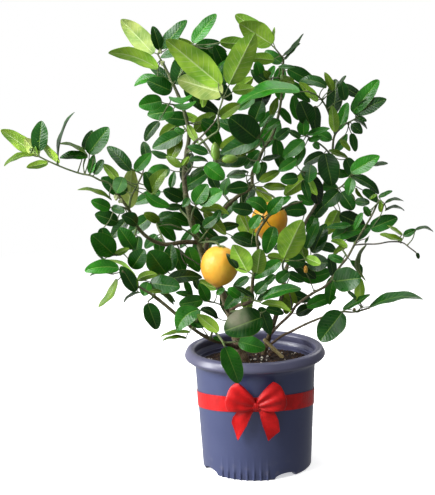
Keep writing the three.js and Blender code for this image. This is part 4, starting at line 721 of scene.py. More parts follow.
def leaf_material(name, upper):
    g = Graph(name)
    _, x, t = g.along()
    s = g.math("ABSOLUTE", g.times(g.minus(x, 0.5), 2.0))
    bend = g.times(g.noise(90, 2), 0.05)
    phase = g.times(g.minus(g.plus(t, bend), g.times(s, 0.17)), 10.0)
    ridge = g.math("ABSOLUTE", g.minus(g.math("FRACT", phase), 0.5))
    fade = g.band(s, 1.0, 0.55)
    vein = g.times(g.band(ridge, 0.10, 0.02), fade)
    midrib = g.band(s, 0.062 if upper else 0.085, 0.02)
    mottle = g.band(g.noise(45, 4), 0.3, 0.75)
    tint = g.tint()
    deep = g.shaded(tint, 0.60, 0.74, 0.50)
    bright = g.shaded(tint, 1.45, 1.26, 1.20)
    colour = g.mix(mottle, deep, bright)
    quilt = g.band(ridge, 0.0, 0.5)
    if upper:
        pale = g.mix(0.22, tint, rgba(0.30, 0.50, 0.06))
        colour = g.mix(g.times(vein, 0.30), colour, pale)
        colour = g.mix(g.times(midrib, 0.58), colour, g.mix(0.42, tint, rgba(0.36, 0.56, 0.10)))
        colour = g.mix(g.band(s, 0.93, 1.0), colour, g.mix(0.25, tint, rgba(0.35, 0.42, 0.10)))
        height = g.minus(g.times(quilt, 0.5),
                        g.plus(g.times(vein, 0.5), midrib))
        rough_value = g.plus(g.times(g.noise(160, 3), 0.22), 0.20)
        normal = g.bump(g.noise(900, 2), 0.00006, 0.35, g.bump(height, 0.00035, 0.6))
        return g.finish(colour, rough_value, normal, specular_ior_level=0.28)
    colour = g.mix(g.times(vein, 0.5), colour, g.mix(0.5, tint, rgba(0.55, 0.66, 0.30)))
    colour = g.mix(g.times(midrib, 0.85), colour, g.mix(0.6, tint, rgba(0.62, 0.72, 0.36)))
    height = g.plus(g.times(vein, 0.6), midrib)
    normal = g.bump(g.noise(1100, 2), 0.00008, 0.4, g.bump(height, 0.00045, 0.7))
    return g.finish(colour, g.plus(g.times(g.noise(200, 3), 0.2), 0.42), normal,
                    specular_ior_level=0.4)


def bark_material(name, upper_gloss):
    g = Graph(name)
    uv, _, run = g.along()
    long = g.node("ShaderNodeMapping", {"Vector": uv, "Scale": (9.0, 1.2, 1.0)}).outputs[0]
    streak = g.noise(2.6, 6, long, 0.65)
    patch = g.band(g.noise(70, 3), 0.35, 0.7)
    tint = g.tint()
    dark = g.shaded(tint, 0.42, 0.40, 0.38)
    pale = g.mix(0.22, tint, rgba(0.55, 0.47, 0.33))
    colour = g.mix(g.band(streak, 0.32, 0.62), dark, g.mix(patch, tint, pale))
    spots = g.band(g.cells(420), 0.28, 0.12)
    colour = g.mix(g.times(spots, 0.35), colour, rgba(0.50, 0.42, 0.28))
    normal = g.bump(g.plus(streak, g.times(spots, 0.3)), 0.0007, 0.8)
    return g.finish(colour, g.minus(0.88 - upper_gloss, g.times(streak, 0.2)), normal,
                    specular_ior_level=0.35)


def rind_material():
    g = Graph("rind")
    tint = g.tint()
    pit = g.band(g.cells(560), 0.05, 0.42)
    patch = g.band(g.noise(38, 3), 0.35, 0.7)
    warm = g.shaded(tint, 1.0, 0.80, 0.55)
    colour = g.mix(patch, warm, tint)
    colour = g.mix(g.times(g.band(pit, 0.6, 0.0), 0.30), colour,
                   g.shaded(tint, 0.80, 0.55, 0.35))
    height = g.plus(pit, g.times(g.noise(160, 3), 1.2))
    normal = g.bump(height, 0.00045, 0.55)
    return g.finish(colour, g.plus(g.times(g.noise(220, 2), 0.15), 0.30), normal,
                    specular_ior_level=0.5, subsurface_weight=0.10, subsurface_scale=0.004, coat_weight=0.08,
                    coat_roughness=0.3)


def plastic_material():
    g = Graph("pot_plastic")
    tint = g.tint()
    _, _, height = g.along()
    drag = g.node("ShaderNodeMapping", {"Vector": g.spot(), "Scale": (1.0, 1.0, 9.0)}).outputs[0]
    cloud = g.band(g.noise(16, 4), 0.3, 0.75)
    scuff = g.band(g.noise(210, 5, drag, 0.7), 0.60, 0.78)
    colour = g.mix(cloud, g.shaded(tint, 0.86, 0.87, 0.92), tint)
    colour = g.mix(g.times(scuff, 0.10), colour, rgba(0.35, 0.37, 0.46))
    dust = g.times(g.band(g.noise(60, 5), 0.52, 0.8), g.band(height, 0.22, 0.0))
    colour = g.mix(g.times(dust, 0.35), colour, rgba(0.22, 0.20, 0.19))
    roughness = g.plus(g.times(g.noise(90, 4), 0.14), 0.25)
    normal = g.bump(g.noise(1300, 2), 0.00005, 0.5, g.bump(g.noise(12, 2), 0.0012, 0.25))
    return g.finish(colour, roughness, normal, specular_ior_level=0.5)


def soil_material():
    g = Graph("potting_mix")
    tint = g.tint()
    fine = g.noise(900, 5)
    colour = g.mix(g.band(g.noise(130, 4), 0.35, 0.7), tint, g.shaded(tint, 2.0, 1.6, 1.3))
    fibre = g.node("ShaderNodeMapping", {"Vector": g.spot(), "Scale": (3.2, 0.6, 1.0)}).outputs[0]
    colour = g.mix(g.times(g.band(g.noise(330, 3, fibre), 0.66, 0.74), 0.6), colour,
                   rgba(0.16, 0.085, 0.035))
    height = g.plus(g.cells(320), fine)
    return g.finish(colour, g.plus(g.times(fine, 0.2), 0.75),
                    g.bump(height, 0.0022, 0.9), specular_ior_level=0.3)


def grain_material():
    g = Graph("grains")
    tint = g.tint()
    colour = g.mix(g.band(g.noise(420, 4), 0.3, 0.7), g.shaded(tint, 0.62, 0.58, 0.52), tint)
    return g.finish(colour, g.plus(g.times(g.noise(500, 2), 0.2), 0.7),
                    g.bump(g.noise(1200, 4), 0.0004, 0.8))


def satin_material():
    g = Graph("ribbon_satin")
    tint = g.tint()
    _, x, run = g.along()
    edge = g.band(g.math("ABSOLUTE", g.minus(x, 0.5)), 0.455, 0.475)
    threads = g.math("SINE", g.times(run, 900.0))
    cross = g.math("SINE", g.times(x, 420.0))
    cloud = g.band(g.noise(70, 4), 0.3, 0.75)
    colour = g.mix(cloud, g.shaded(tint, 0.70, 0.55, 0.60), tint)
    colour = g.mix(g.times(edge, 0.45), colour, rgba(0.36, 0.004, 0.010))
    weave = g.plus(g.times(threads, 0.4), g.times(cross, 0.25))
    crinkle = g.bump(g.noise(150, 3), 0.0007, 0.35)
    normal = g.bump(g.minus(weave, edge), 0.00009, 0.6, crinkle)
    return g.finish(colour, g.plus(g.times(cloud, 0.10), 0.36), normal,
                    specular_ior_level=0.30, sheen_weight=0.04, sheen_roughness=0.4)


MATERIALS = {
    "leaf_top": leaf_material("leaf_top", True),
    "leaf_under": leaf_material("leaf_under", False),
    "bark": bark_material("bark", 0.0),
    "young_bark": bark_material("young_bark", 0.28),
    "rind": rind_material(),
    "pot_plastic": plastic_material(),
    "potting_mix": soil_material(),
    "grains": grain_material(),
    "ribbon_satin": satin_material(),
}

# Upper and under colours of the leaf tones.
LEAF_TINTS = {
    "D": ((0.0045, 0.064, 0.0022), (0.060, 0.150, 0.012)),
    "M": ((0.0130, 0.130, 0.0030), (0.090, 0.210, 0.014)),
    "L": ((0.0460, 0.215, 0.0035), (0.210, 0.400, 0.030)),
    "P": ((0.0420, 0.175, 0.0050), (0.350, 0.480, 0.125)),
    "O": ((0.0800, 0.160, 0.0050), (0.150, 0.230, 0.016)),
    # S: a dark leaf whose upper face blade() paints with a silvery highlight
    "S": ((0.0045, 0.064, 0.0022), (0.060, 0.150, 0.012)),
    "K": ((0.0025, 0.030, 0.0018), (0.020, 0.062, 0.005)),
}
BROWN_BARK = (0.085, 0.042, 0.019)
OLIVE_BARK = (0.046, 0.052, 0.018)
GREEN_TWIG = (0.072, 0.130, 0.026)
DARK_TWIG = (0.026, 0.026, 0.012)
# colour of the painted silvery highlight laid on part of the S leaf's upper face
PAINTED_SHEEN_GREY = (0.36, 0.40, 0.30)


# ---------------------------------------------------------------- plant
LEAF_U = np.array([-1, -0.74, -0.45, -0.17, -0.05, 0.05, 0.17, 0.45, 0.74, 1.0])
LEAF_T = np.array([0, 0.012, 0.04, 0.09, 0.17, 0.26, 0.36, 0.46, 0.56, 0.66, 0.76, 0.85,
                   0.92, 0.965, 0.99, 1.0])
LEAF_VARIETY = 1.37              # how far apart in the blades' variations one leaf is from the next


def blade(maker, f, seed):
    """One leaf: folded along its midrib, waved at its edge, pale and ribbed underneath."""
    t, u = patch(LEAF_T, LEAF_U)
    roundness = 0.56 + 0.10 * math.sin(seed * 2.3)
    half = f["half"] * fullness(t, roundness)
    wave = 0.075 * half * np.abs(u) ** 2.2 * np.sin(2 * np.pi * (2.1 * t + 0.37 * np.sign(u)) + seed)
    droop = -0.05 * f["length"] * np.clip(t - 0.72, 0, 1) ** 2 * 9 * (0.4 + 0.6 * math.sin(seed * 1.7) ** 2)
    groove = -0.45 * np.exp(-(u / 0.11) ** 2) * np.sin(np.pi * t) ** 0.5
    rib = -0.75 * np.exp(-(u / 0.12) ** 2) * (1.05 - t)
    thin = LEAF_THICK / 2
    top = on_leaf(f, t, u, wave + droop + groove + thin, 0.25, 0.02, roundness)
    bottom = on_leaf(f, t, u, wave + droop + groove + rib - thin, 0.25, 0.02, roundness)
    uv = np.stack([u * 0.5 + 0.5, t + 0.01 * (seed % 3)], -1)
    shade = 1 + 0.22 * math.sin(3.1 * seed)
    upper, under = (np.array(c) * shade for c in LEAF_TINTS[f["tone"]])
    # painted highlight: a silvery reflection painted onto part of the S leaf's upper face
    if f["tone"] == "S":
        sheen = (0.85 * np.exp(-((t - 0.6) / 0.28) ** 4) * np.clip(0.5 + 1.6 * u, 0, 1))[..., None]
        upper = upper * (1 - sheen) + np.array(PAINTED_SHEEN_GREY) * sheen
    maker.slab(sight(top), sight(bottom), ("leaf_top", "leaf_under"), (upper, under), uv)


def petiole(maker, f, root):
    """The leaf's stalk, from the twig to the midrib, with a swollen joint at each end."""
    start, end = np.asarray(root, float), on_leaf(f, 0.05, 0.0, -0.3, 0.25, 0.02).reshape(3)
    lean = f["step"] / np.linalg.norm(f["step"])
    middle = (start + end) / 2 + lean * 0.12 * np.linalg.norm(end - start) - [0, 0.5, 0]
    path = sight(catmull([start, middle, end], np.linspace(0, 1, 6)))
    radii = np.array([1.25, 0.95, 0.8, 0.8, 0.85, 0.6])
    tube(maker, path, radii, "young_bark", GREEN_TWIG, 6)


PLANT_SLOTS = ["leaf_top", "leaf_under", "young_bark", "bark"]
makers = {}


def maker_for(name):
    if name not in makers:
        makers[name] = Maker(PLANT_SLOTS)
    return makers[name]


def stem_tints(name, count, heights):
    """Brown and woody low on the tree, olive then green towards the ends."""
    young = np.clip((np.asarray(heights) - 200) / 330, 0, 1)[:, None]
    end = np.linspace(0, 1, count)[:, None]
    wood = np.array(BROWN_BARK) * (1 - young) + np.array(OLIVE_BARK) * young
    return wood * (1 - 0.5 * end) + np.array(GREEN_TWIG) * 0.5 * end


for name, (root, root_radius, end_radius, _) in STEMS.items():
    route = route_of(name)
    woody = name in ("trunk", "stem_second")
    path = sight(smoothed(route, FINE_STEP))
    radii = np.linspace(root_radius, end_radius, len(path))
    knots = 1 + 0.10 * np.clip(np.sin(np.arange(len(path)) * 0.83 + len(name)), 0.3, 1) ** 3
    if name == "trunk":
        radii = radii + 3.0 * np.exp(-np.abs(path[:, 2] - SOIL_TOP) / 12) * (path[:, 2] > SOIL_TOP - 12)
    sides = 18 if woody else 10
    tube(maker_for(name), path, radii * knots, "bark" if woody or root_radius > 3 else "young_bark",
         stem_tints(name, len(path), path[:, 2]), sides, 0.16 if woody else 0.10)
    crowd_in(name, sight(smoothed(route, SAMPLE_STEP)))


def fruit_stalk(middle, length, tip, way, stem, index, points):
    centre = Vector(sight(deepened([middle])[0]))
    direction = Vector((tip[0], 0, tip[1])).normalized()
    top = centre - direction * length * 0.42
    marks = [top, *([*sight(deepened(way))] if way else []), sight(route_of(stem)[index])]
    return centre, direction, catmull(marks, np.linspace(0, 1, points))


for name, middle, diameter, length, tip, way, stem, index in FRUIT:
    centre, direction, stalk = fruit_stalk(middle, length, tip, way, stem, index, 6)
    crowd_in(name, stalk)
    crowd_in(name, [tuple(centre)], diameter * 0.5 + 3)

for name, stem, index, radius, way, leaves in SHOOTS:
    route = shoot_route(stem, index, way)
    path = sight(smoothed(route, FINE_STEP))
    radii = np.linspace(radius, radius * 0.75, len(path))
    tint = np.array(DARK_TWIG if leaves[0][5] in "KO" else GREEN_TWIG)
    tube(maker_for(name), path, radii, "young_bark", tint, 8, 0.10)
    crowd_in(name, sight(smoothed(route, SAMPLE_STEP)))

CELL = 5                         # side of a square of the drawn plane
nearest_seen = {}                # square: how deep the nearest thing in it lies


def footprint(f):
    """The squares of the drawn plane that a leaf covers, and its depth in each."""
    t, u = patch(np.linspace(0.05, 1, 10), np.linspace(-0.9, 0.9, 5))
    return {(math.floor(x / CELL), math.floor(z / CELL)): depth
            for x, z, depth in on_leaf(f, t, u, 0 * t).reshape(-1, 3)}


def see(cells):
    for cell, depth in cells.items():
        nearest_seen[cell] = min(depth, nearest_seen.get(cell, math.inf))


leaf_count = 0
for slight_pass in (False, True):
    for number, (name, stem, index, _, way, leaves) in enumerate(SHOOTS):
        route = shoot_route(stem, index, way)
        placed = []
        for i, leaf in enumerate([l for l in leaves if is_slight(l) == slight_pass]):
            root = nearest_on_twig(route, leaf[0], leaf[1])
            drawn = math.hypot(leaf[2] - leaf[0], leaf[3] - leaf[1])
            natural = 0.3 * drawn * math.sin(2.4 * i + number)
            placed.append((placed_leaf(leaf, root, natural, name), root))
        for f, root in placed:
            leaf_count += 1
            petiole(maker_for(name), f, root)
            blade(maker_for(name), f, leaf_count * LEAF_VARIETY)
            crowd_in(name, leaf_samples(f, root))
            see(footprint(f))

# ---------------------------------------------------------------- small leaves that fill the crown
# Where they grow: middle x and z, half width, half height, how many.
FILL_ZONES = [
    [-62, 655, 55, 45, 34], [-62, 585, 52, 42, 36], [-132, 655, 26, 34, 12], [-128, 600, 34, 26, 12],
    [20, 650, 42, 48, 14], [85, 598, 95, 40, 56], [20, 560, 60, 34, 20], [130, 545, 50, 40, 20],
    [-135, 530, 34, 44, 12], [-60, 520, 60, 36, 18], [40, 490, 66, 42, 36], [-90, 470, 70, 44, 38],
    [-150, 430, 60, 46, 36], [-205, 470, 44, 26, 12], [-210, 400, 34, 40, 16], [-120, 400, 66, 40, 36],
    [-40, 410, 60, 44, 34], [120, 490, 60, 44, 30], [140, 430, 66, 36, 36], [70, 430, 56, 50, 30],
    [30, 370, 60, 46, 30], [-200, 350, 40, 50, 14], [-150, 330, 60, 36, 12], [110, 380, 60, 40, 26],
    [10, 320, 60, 36, 22], [100, 330, 50, 34, 14], [-80, 310, 50, 34, 14], [10, 280, 46, 28, 10],
    [-250, 530, 40, 26, 4], [-330, 575, 26, 18, 2], [190, 420, 30, 34, 8], [-60, 250, 60, 24, 7],
    [130, 265, 50, 12, 2], [60, 255, 20, 14, 2],
]
# Where light shows through: middle x and z, radius.
OPENINGS = [
    [-170, 400, 10], [-176, 380, 12], [-163, 363, 9], [-209, 410, 8], [136, 405, 9], [140, 368, 14],
    [-150, 500, 14], [70, 250, 14], [-20, 232, 12],
]
FILL_TONES = "DDDDDDDMMMMMKKKLLO"
MAY_HIDE = 0.10                  # share of a filling leaf that may lie before something else
SHOWS = 0.42                     # share that must show
BACK_LIMIT = 116                 # and how far back its edges may reach
TRIES = 22                       # for each leaf wanted in a zone
NEAR_TWIG, FAR_TWIG = 3, 46      # how far from a twig, as drawn, a leaf's base may be
FILL_LENGTH, FILL_SPREAD = 28, 27
FRUIT_DEPTH = -200               # nearer than any leaf, so that none grows over a fruit

twig_points, twig_owners = [], []
for name in STEMS:
    spots = smoothed(route_of(name), SAMPLE_STEP)[4:]
    twig_points += list(spots)
    twig_owners += [name] * len(spots)
for name, stem, index, _, way, _ in SHOOTS:
    spots = smoothed(shoot_route(stem, index, way), SAMPLE_STEP)
    twig_points += list(spots)
    twig_owners += [name] * len(spots)
twig_points = np.array(twig_points)
for _, middle, diameter, *_ in FRUIT:
    reach = np.arange(-diameter / 2, diameter / 2, CELL)
    see({(math.floor((middle[0] + a) / CELL), math.floor((middle[1] + b) / CELL)): FRUIT_DEPTH
         for a in reach for b in reach if math.hypot(a, b) < diameter * 0.56})


def inside(zones, x, z):
    return any(((x - a) / rx) ** 2 + ((z - b) / rz) ** 2 < 1 for a, b, rx, rz, _ in zones)


for a, b, rx, rz, count in FILL_ZONES:
    grown = 0
    for _ in range(count * TRIES):
        swing, reach, turn, size, plump, pick, bow = rng.random(7)
        x = a + rx * math.sqrt(reach) * math.cos(2 * math.pi * swing)
        z = b + rz * math.sqrt(reach) * math.sin(2 * math.pi * swing)
        away = np.hypot(twig_points[:, 0] - x, twig_points[:, 1] - z)
        nearest = int(away.argmin())
        root = twig_points[nearest]
        if grown >= count or not NEAR_TWIG < away[nearest] < FAR_TWIG:
            continue
        heading = math.atan2(z - root[1], x - root[0]) + (turn - 0.5) * 2.4
        length = FILL_LENGTH + FILL_SPREAD * size
        tip = (x + length * math.cos(heading), z + length * math.sin(heading))
        tone = FILL_TONES[int(pick * len(FILL_TONES))]
        leaf = [x, z, *tip, length * (0.38 + 0.22 * plump), tone, 5 * (bow - 0.5)]
        middle = ((x + tip[0]) / 2, (z + tip[1]) / 2)
        if not inside(FILL_ZONES, *tip) or any(
                math.hypot(p[0] - gx, p[1] - gz) < gr for gx, gz, gr in OPENINGS for p in (middle, tip)):
            continue
        rough_cells = footprint(leaf_frame(leaf, root[2], 0))
        if len(rough_cells.keys() - nearest_seen.keys()) < SHOWS * len(rough_cells):
            continue
        f = placed_leaf(leaf, root, 24 * bow, None)
        cells = footprint(f)
        low, high = (sight(list(on_leaf(f, LEAF_T, e, 0 * LEAF_T))) for e in (-1, 1))
        if max(low[:, 1].max(), high[:, 1].max()) > BACK_LIMIT:
            continue
        hiding = sum(depth < nearest_seen[c] for c, depth in cells.items() if c in nearest_seen)
        if hiding > MAY_HIDE * len(cells) or len(cells.keys() - nearest_seen.keys()) < SHOWS * len(cells):
            continue
        leaf_count += 1
        grown += 1
        owner = twig_owners[nearest]
        petiole(maker_for(owner), f, root)
        blade(maker_for(owner), f, leaf_count * LEAF_VARIETY)
        crowd_in(owner, leaf_samples(f, root))
        see(cells)

# ---------------------------------------------------------------- buds, thorns and cut stubs
def bud(maker, spot, size, tint, seed):
    """A small knobbly bud of a few scales, round a drawn point."""
    x, z, depth = spot
    for i in range(3):
        turn = seed + i * 2.4
        centre = sight([x + math.cos(turn) * size * 0.45, z + math.sin(turn) * size * 0.45, depth])
        rings, columns = 6, 8
        a = np.linspace(0, np.pi, rings)[:, None]
        b = np.linspace(0, 2 * np.pi, columns, endpoint=False)[None]
        lumpy = 1 + 0.15 * np.sin(3 * b + turn) * np.sin(a)
        ball = np.stack([np.sin(a) * np.cos(b) * lumpy, np.sin(a) * np.sin(b) * lumpy,
                         np.cos(a) * 1.35 + 0 * b], -1) * size * 0.55
        uv = np.stack(np.broadcast_arrays(b / 6.3, a), -1)
        maker.grid(centre + ball, "young_bark", tint, uv, close=True, flip=True)


PALE_BUD = (0.42, 0.50, 0.22)
BROWN_BUD = (0.20, 0.12, 0.05)
GREEN_BUD = (0.16, 0.30, 0.05)
# node, middle [x, z, depth in the tables' sense], size, tint
BUDS = [
    ["shoot_left_mid", [-216, 446, -56], 4.5, PALE_BUD], ["shoot_left_mid", [-209, 440, -54], 4, PALE_BUD],
    ["shoot_far_left", [-348, 524, -52], 4, GREEN_BUD], ["limb_leader", [-137, 674, 30], 4, PALE_BUD],
    ["limb_leader", [-134, 656, 28], 4, PALE_BUD], ["limb_leader", [-118, 624, 24], 3.5, PALE_BUD],
    ["limb_leader", [-97, 549, 12], 4, BROWN_BUD], ["limb_centre", [-38, 430, 44], 3, BROWN_BUD],
    ["limb_centre", [52, 606, 46], 3, GREEN_BUD], ["limb_back_right", [135, 545, 74], 3.5, GREEN_BUD],
    ["trunk", [-99, 418, 0], 4.5, PALE_BUD], ["trunk", [-96, 400, 0], 4, PALE_BUD],
    ["trunk", [-41, 262, 6], 5.5, BROWN_BUD], ["limb_low_right", [162, 254, -50], 3, BROWN_BUD],
    ["limb_low_right", [120, 247, -40], 3, BROWN_BUD], ["limb_right", [100, 286, -12], 3, GREEN_BUD],
    ["limb_low_left", [-98, 229, -54], 3.5, BROWN_BUD], ["limb_right", [164, 362, -28], 3, GREEN_BUD],
]
for number, (name, spot, size, tint) in enumerate(BUDS):
    bud(maker_for(name), deepened([spot])[0], size, tint, number * 1.1)

# Thin side twigs, thorns and cut stubs: node, radius at each end, tint, route in the tables' sense.
SPRIGS = [
    ["trunk", 3.0, 2.6, PALE_BUD, [[-42, 262, 8], [-22, 266, 0], [-4, 264, -4]]],
    ["trunk", 1.5, 0.6, PALE_BUD, [[-20, 266, 0], [-19, 275, -1]]],
    ["trunk", 1.5, 0.6, PALE_BUD, [[-8, 265, -3], [-6, 273, -4]]],
    ["trunk", 1.6, 1.2, PALE_BUD, [[-82, 352, 4], [-78, 366, 0], [-74, 374, -2]]],
    ["limb_left", 1.2, 0.8, DARK_TWIG,
     [[-122, 370, -12], [-112, 352, -20], [-92, 338, -22], [-78, 328, -20]]],
    ["limb_left", 1.0, 0.7, DARK_TWIG, [[-116, 354, -18], [-110, 338, -22], [-102, 330, -24]]],
    ["limb_low_left", 1.4, 0.9, DARK_TWIG,
     [[-92, 222, -52], [-112, 238, -44], [-128, 252, -40], [-148, 270, -38], [-164, 283, -36]]],
    ["limb_low_left", 1.1, 0.8, DARK_TWIG,
     [[-72, 210, -40], [-84, 228, -34], [-92, 240, -32], [-110, 262, -28]]],
    ["limb_low_left", 1.0, 0.7, DARK_TWIG, [[-76, 212, -42], [-80, 222, -36], [-86, 230, -34]]],
    ["trunk", 1.3, 0.8, BROWN_BARK, [[-38, 250, 8], [-56, 268, -6], [-74, 272, -12]]],
    ["trunk", 1.1, 0.8, GREEN_TWIG, [[-40, 240, 8], [-54, 242, 0], [-62, 249, -6]]],
    ["limb_right", 1.3, 0.8, DARK_TWIG, [[62, 252, 6], [60, 275, -4], [54, 298, -10]]],
    ["limb_right", 1.0, 0.7, GREEN_TWIG, [[98, 284, -12], [94, 297, -14], [88, 312, -18]]],
    ["limb_right", 0.9, 0.5, DARK_TWIG,
     [[164, 361, -28], [172, 367, -30], [182, 370, -32], [187, 374, -32]]],
    ["limb_low_right", 1.1, 0.3, DARK_TWIG, [[143, 251, -50], [148, 256, -51], [151, 262, -52]]],
    ["limb_low_right", 1.1, 0.3, DARK_TWIG, [[168, 252, -58], [174, 258, -58], [181, 265, -58]]],
    ["limb_low_right", 1.0, 0.6, DARK_TWIG,
     [[161, 250, -56], [170, 250, -58], [175, 256, -58], [172, 267, -58]]],
    ["stem_second", 1.5, 1.0, DARK_TWIG,
     [[24, 214, 28], [30, 236, 18], [38, 262, 6], [46, 286, 0], [52, 300, 2]]],
    ["stem_second", 1.2, 0.8, DARK_TWIG,
     [[34, 240, 22], [45, 266, 24], [52, 290, 22], [60, 309, 20], [84, 317, 16]]],
    ["limb_back_right", 1.2, 0.8, OLIVE_BARK, [[111, 441, 70], [103, 424, 50], [90, 404, 34]]],
    ["limb_leader", 1.5, 1.1, OLIVE_BARK, [[-80, 536, -14], [-60, 556, -24], [-50, 568, -30]]],
    ["trunk", 1.4, 0.9, GREEN_TWIG,
     [[-88, 376, 2], [-110, 392, -16], [-132, 400, -24], [-150, 398, -28]]],
    ["limb_centre", 1.1, 0.7, GREEN_TWIG,
     [[-16, 446, 46], [-14, 424, 30], [-8, 402, 18], [-5, 388, 10]]],
]
for name, start, end, tint, route in SPRIGS:
    path = sight(smoothed(deepened(route), FINE_STEP))
    tube(maker_for(name), path, np.linspace(start, end, len(path)), "young_bark", tint, 8, 0.12)

RECORD_SLOTS = {"trunk": "bark", "stem_second": "bark"}
for name, maker in makers.items():
    slot = RECORD_SLOTS.get(name, "young_bark" if name.startswith("limb_") else "leaf")
    maker.piece(name + "_grown", slot, [name], 60)


# ---------------------------------------------------------------- fruit
CAP_TURN = 1.2566                # between the cap's five lobes, in radians


def fruit_piece(name, middle, diameter, length, tip, way, stem, index, tints, record_slot):
    """The rind as a turned form with a pointed tip and a necked top, then its cap and stalk."""
    small = diameter < 20
    rows, columns = (18, 20) if small else (56, 64)
    centre, direction, stalk = fruit_stalk(middle, length, tip, way, stem, index, 14)
    a = np.linspace(0, np.pi, rows)[:, None]
    b = np.linspace(0, 2 * np.pi, columns, endpoint=False)[None]
    belly = np.sin(a) ** 0.92 * diameter / 2
    height = -np.cos(a) * length / 2
    height = height + length * 0.055 * np.exp(-((np.pi - a) / 0.20) ** 2)
    height = height + length * 0.030 * np.exp(-(a / 0.30) ** 2) - length * 0.025 * np.exp(-(a / 0.10) ** 2)
    lobes = 1 + 0.010 * np.cos(5 * b + 1) + 0.008 * np.cos(9 * b) * (0.4 + np.cos(a) ** 2)
    local = np.stack([belly * lobes * np.cos(b), height + 0 * b, belly * lobes * np.sin(b)], -1)
    turn = Vector((0, 1, 0)).rotation_difference(direction)
    place = np.array(turn.to_matrix())
    rind = local @ place.T + np.array(centre)
    if not small:
        normals = (local / np.linalg.norm(local, axis=-1, keepdims=True)) @ place.T
        bumps = np.array([[rough(p, 7.0) for p in row] for row in rind])
        rind = rind + normals * bumps[..., None] * 0.35
    # painted light and shade: the rind blends from its lit colour to its shaded colour towards the tip and
    # round one side
    lit, low = (np.array(c) for c in tints)
    share = (a / np.pi * 0.55 + 0.45 * (0.5 + 0.5 * np.sin(b + 0.6)))[..., None]
    uv = np.stack(np.broadcast_arrays(b / (2 * np.pi), a / np.pi), -1)
    maker = Maker(["rind", "young_bark"])
    maker.grid(rind, "rind", lit * (1 - share) + low * share, uv, close=True, flip=True)
    cap = diameter * (0.14 if small else 0.085)
    top = np.array(centre - direction * length * (0.47 if small else 0.485))
    for i in range(5):
        out = np.array(turn @ Vector((math.cos(i * CAP_TURN), 0, math.sin(i * CAP_TURN))))
        path = [top, top + out * cap * 0.6 - np.array(direction) * cap * 0.10, top + out * cap * 1.1]
        tube(maker, path, [cap * 0.42, cap * 0.36, cap * 0.18], "young_bark", (0.20, 0.26, 0.07), 6)
    radius = min(1.6, diameter * 0.1)
    radii = np.linspace(radius, radius * 1.4, len(stalk))
    tube(maker, stalk[::-1], radii, "young_bark", GREEN_TWIG, 10, 0.15)
    maker.piece(name + "_ripe", record_slot, [name], 70)


# Per fruit: its lit colour and its painted shaded colour, and a record slot name.
FRUIT_LIT_AND_SHADED_TINTS = {
    "lemon_front": (((0.86, 0.53, 0.060), (0.68, 0.37, 0.014)), "lemon_rind"),
    "lemon_back": (((0.80, 0.42, 0.012), (0.62, 0.28, 0.006)), "lemon_rind"),
    "green_fruit_upright": (((0.16, 0.34, 0.03), (0.09, 0.22, 0.02)), "green_rind"),
    "green_fruit_level": (((0.16, 0.34, 0.03), (0.09, 0.22, 0.02)), "green_rind"),
    "fruitlet": (((0.78, 0.42, 0.04), (0.48, 0.30, 0.03)), "fruitlet_rind"),
}
for name, middle, diameter, length, tip, way, stem, index in FRUIT:
    fruit_piece(name, middle, diameter, length, tip, way, stem, index, *FRUIT_LIT_AND_SHADED_TINTS[name])

# ---------------------------------------------------------------- cut stem
maker = Maker(["young_bark", "grains"])
path = sight(smoothed([[46, 176, 26], [17, 206, 34]], 3.0))
tube(maker, path, np.linspace(3.3, 2.9, len(path)) * (1 + 0.06 * np.sin(np.arange(len(path)))), "young_bark",
     (0.34, 0.27, 0.10), 14, 0.12)
maker.piece("cut_stem_bark", "cut_wood", ["cut_stem"])


# ---------------------------------------------------------------- pot
def wall_radius(z):
    top = POT_HEIGHT - RIM_LIP - 10
    return WALL_TOP_RADIUS - WALL_TAPER * (top - z) / top


def arc(centre, radius, start, end, count):
    """Points of an arc in the profile plane, angles in degrees from straight out."""
    angles = np.radians(np.linspace(start, end, count))
    return [[centre[0] + radius * math.cos(a), centre[1] + radius * math.sin(a)] for a in angles]


def pot_profile():
    shoulder = POT_HEIGHT - RIM_LIP - 8
    inner, floor_edge = wall_radius(shoulder) - WALL, wall_radius(FOOT_HEIGHT) - WALL
    wall = [[wall_radius(z), z] for z in (1.2, 3, 6, 9, 12, 20, 40, 70, 105, 140, shoulder - 8, shoulder - 2)]
    rim = [[wall_radius(shoulder) + 1.2, shoulder + 1.5], [wall_radius(shoulder) + 3.5, shoulder + 4],
           [RIM_RADIUS - 7, POT_HEIGHT - RIM_LIP + 1.2]]
    roll = arc([RIM_RADIUS - 5.4, POT_HEIGHT - 11.5], 5.4, -60, 15, 7)
    crest = arc([RIM_RADIUS - 9.5, POT_HEIGHT - 7.5], 7.5, 25, 165, 12)
    inside = [[inner + 5, POT_HEIGHT - 15], [inner + 2, shoulder + 6], [inner + 1.6, shoulder + 3],
              [inner - 0.2, shoulder + 2.2], [inner - 0.4, shoulder - 2.5],
              [inner - 1.6, shoulder - 3.2],
              [wall_radius(150) - WALL - 0.4, 150], [wall_radius(60) - WALL, 60],
              [floor_edge - 1, FOOT_HEIGHT + WALL + 3], [floor_edge - 6, FOOT_HEIGHT + WALL],
              [40, FOOT_HEIGHT + WALL], [4, FOOT_HEIGHT + WALL]]
    under = [[4, 0], [12, 0], [13, 0.6], [15, FOOT_HEIGHT], [50, FOOT_HEIGHT],
             [wall_radius(0) - FOOT_WIDTH - 2, FOOT_HEIGHT], [wall_radius(0) - FOOT_WIDTH, 1.0],
             [wall_radius(0) - FOOT_WIDTH + 0.8, 0], [wall_radius(0) - 1.0, 0]]
    return np.array(under + wall + rim + roll + crest + inside)


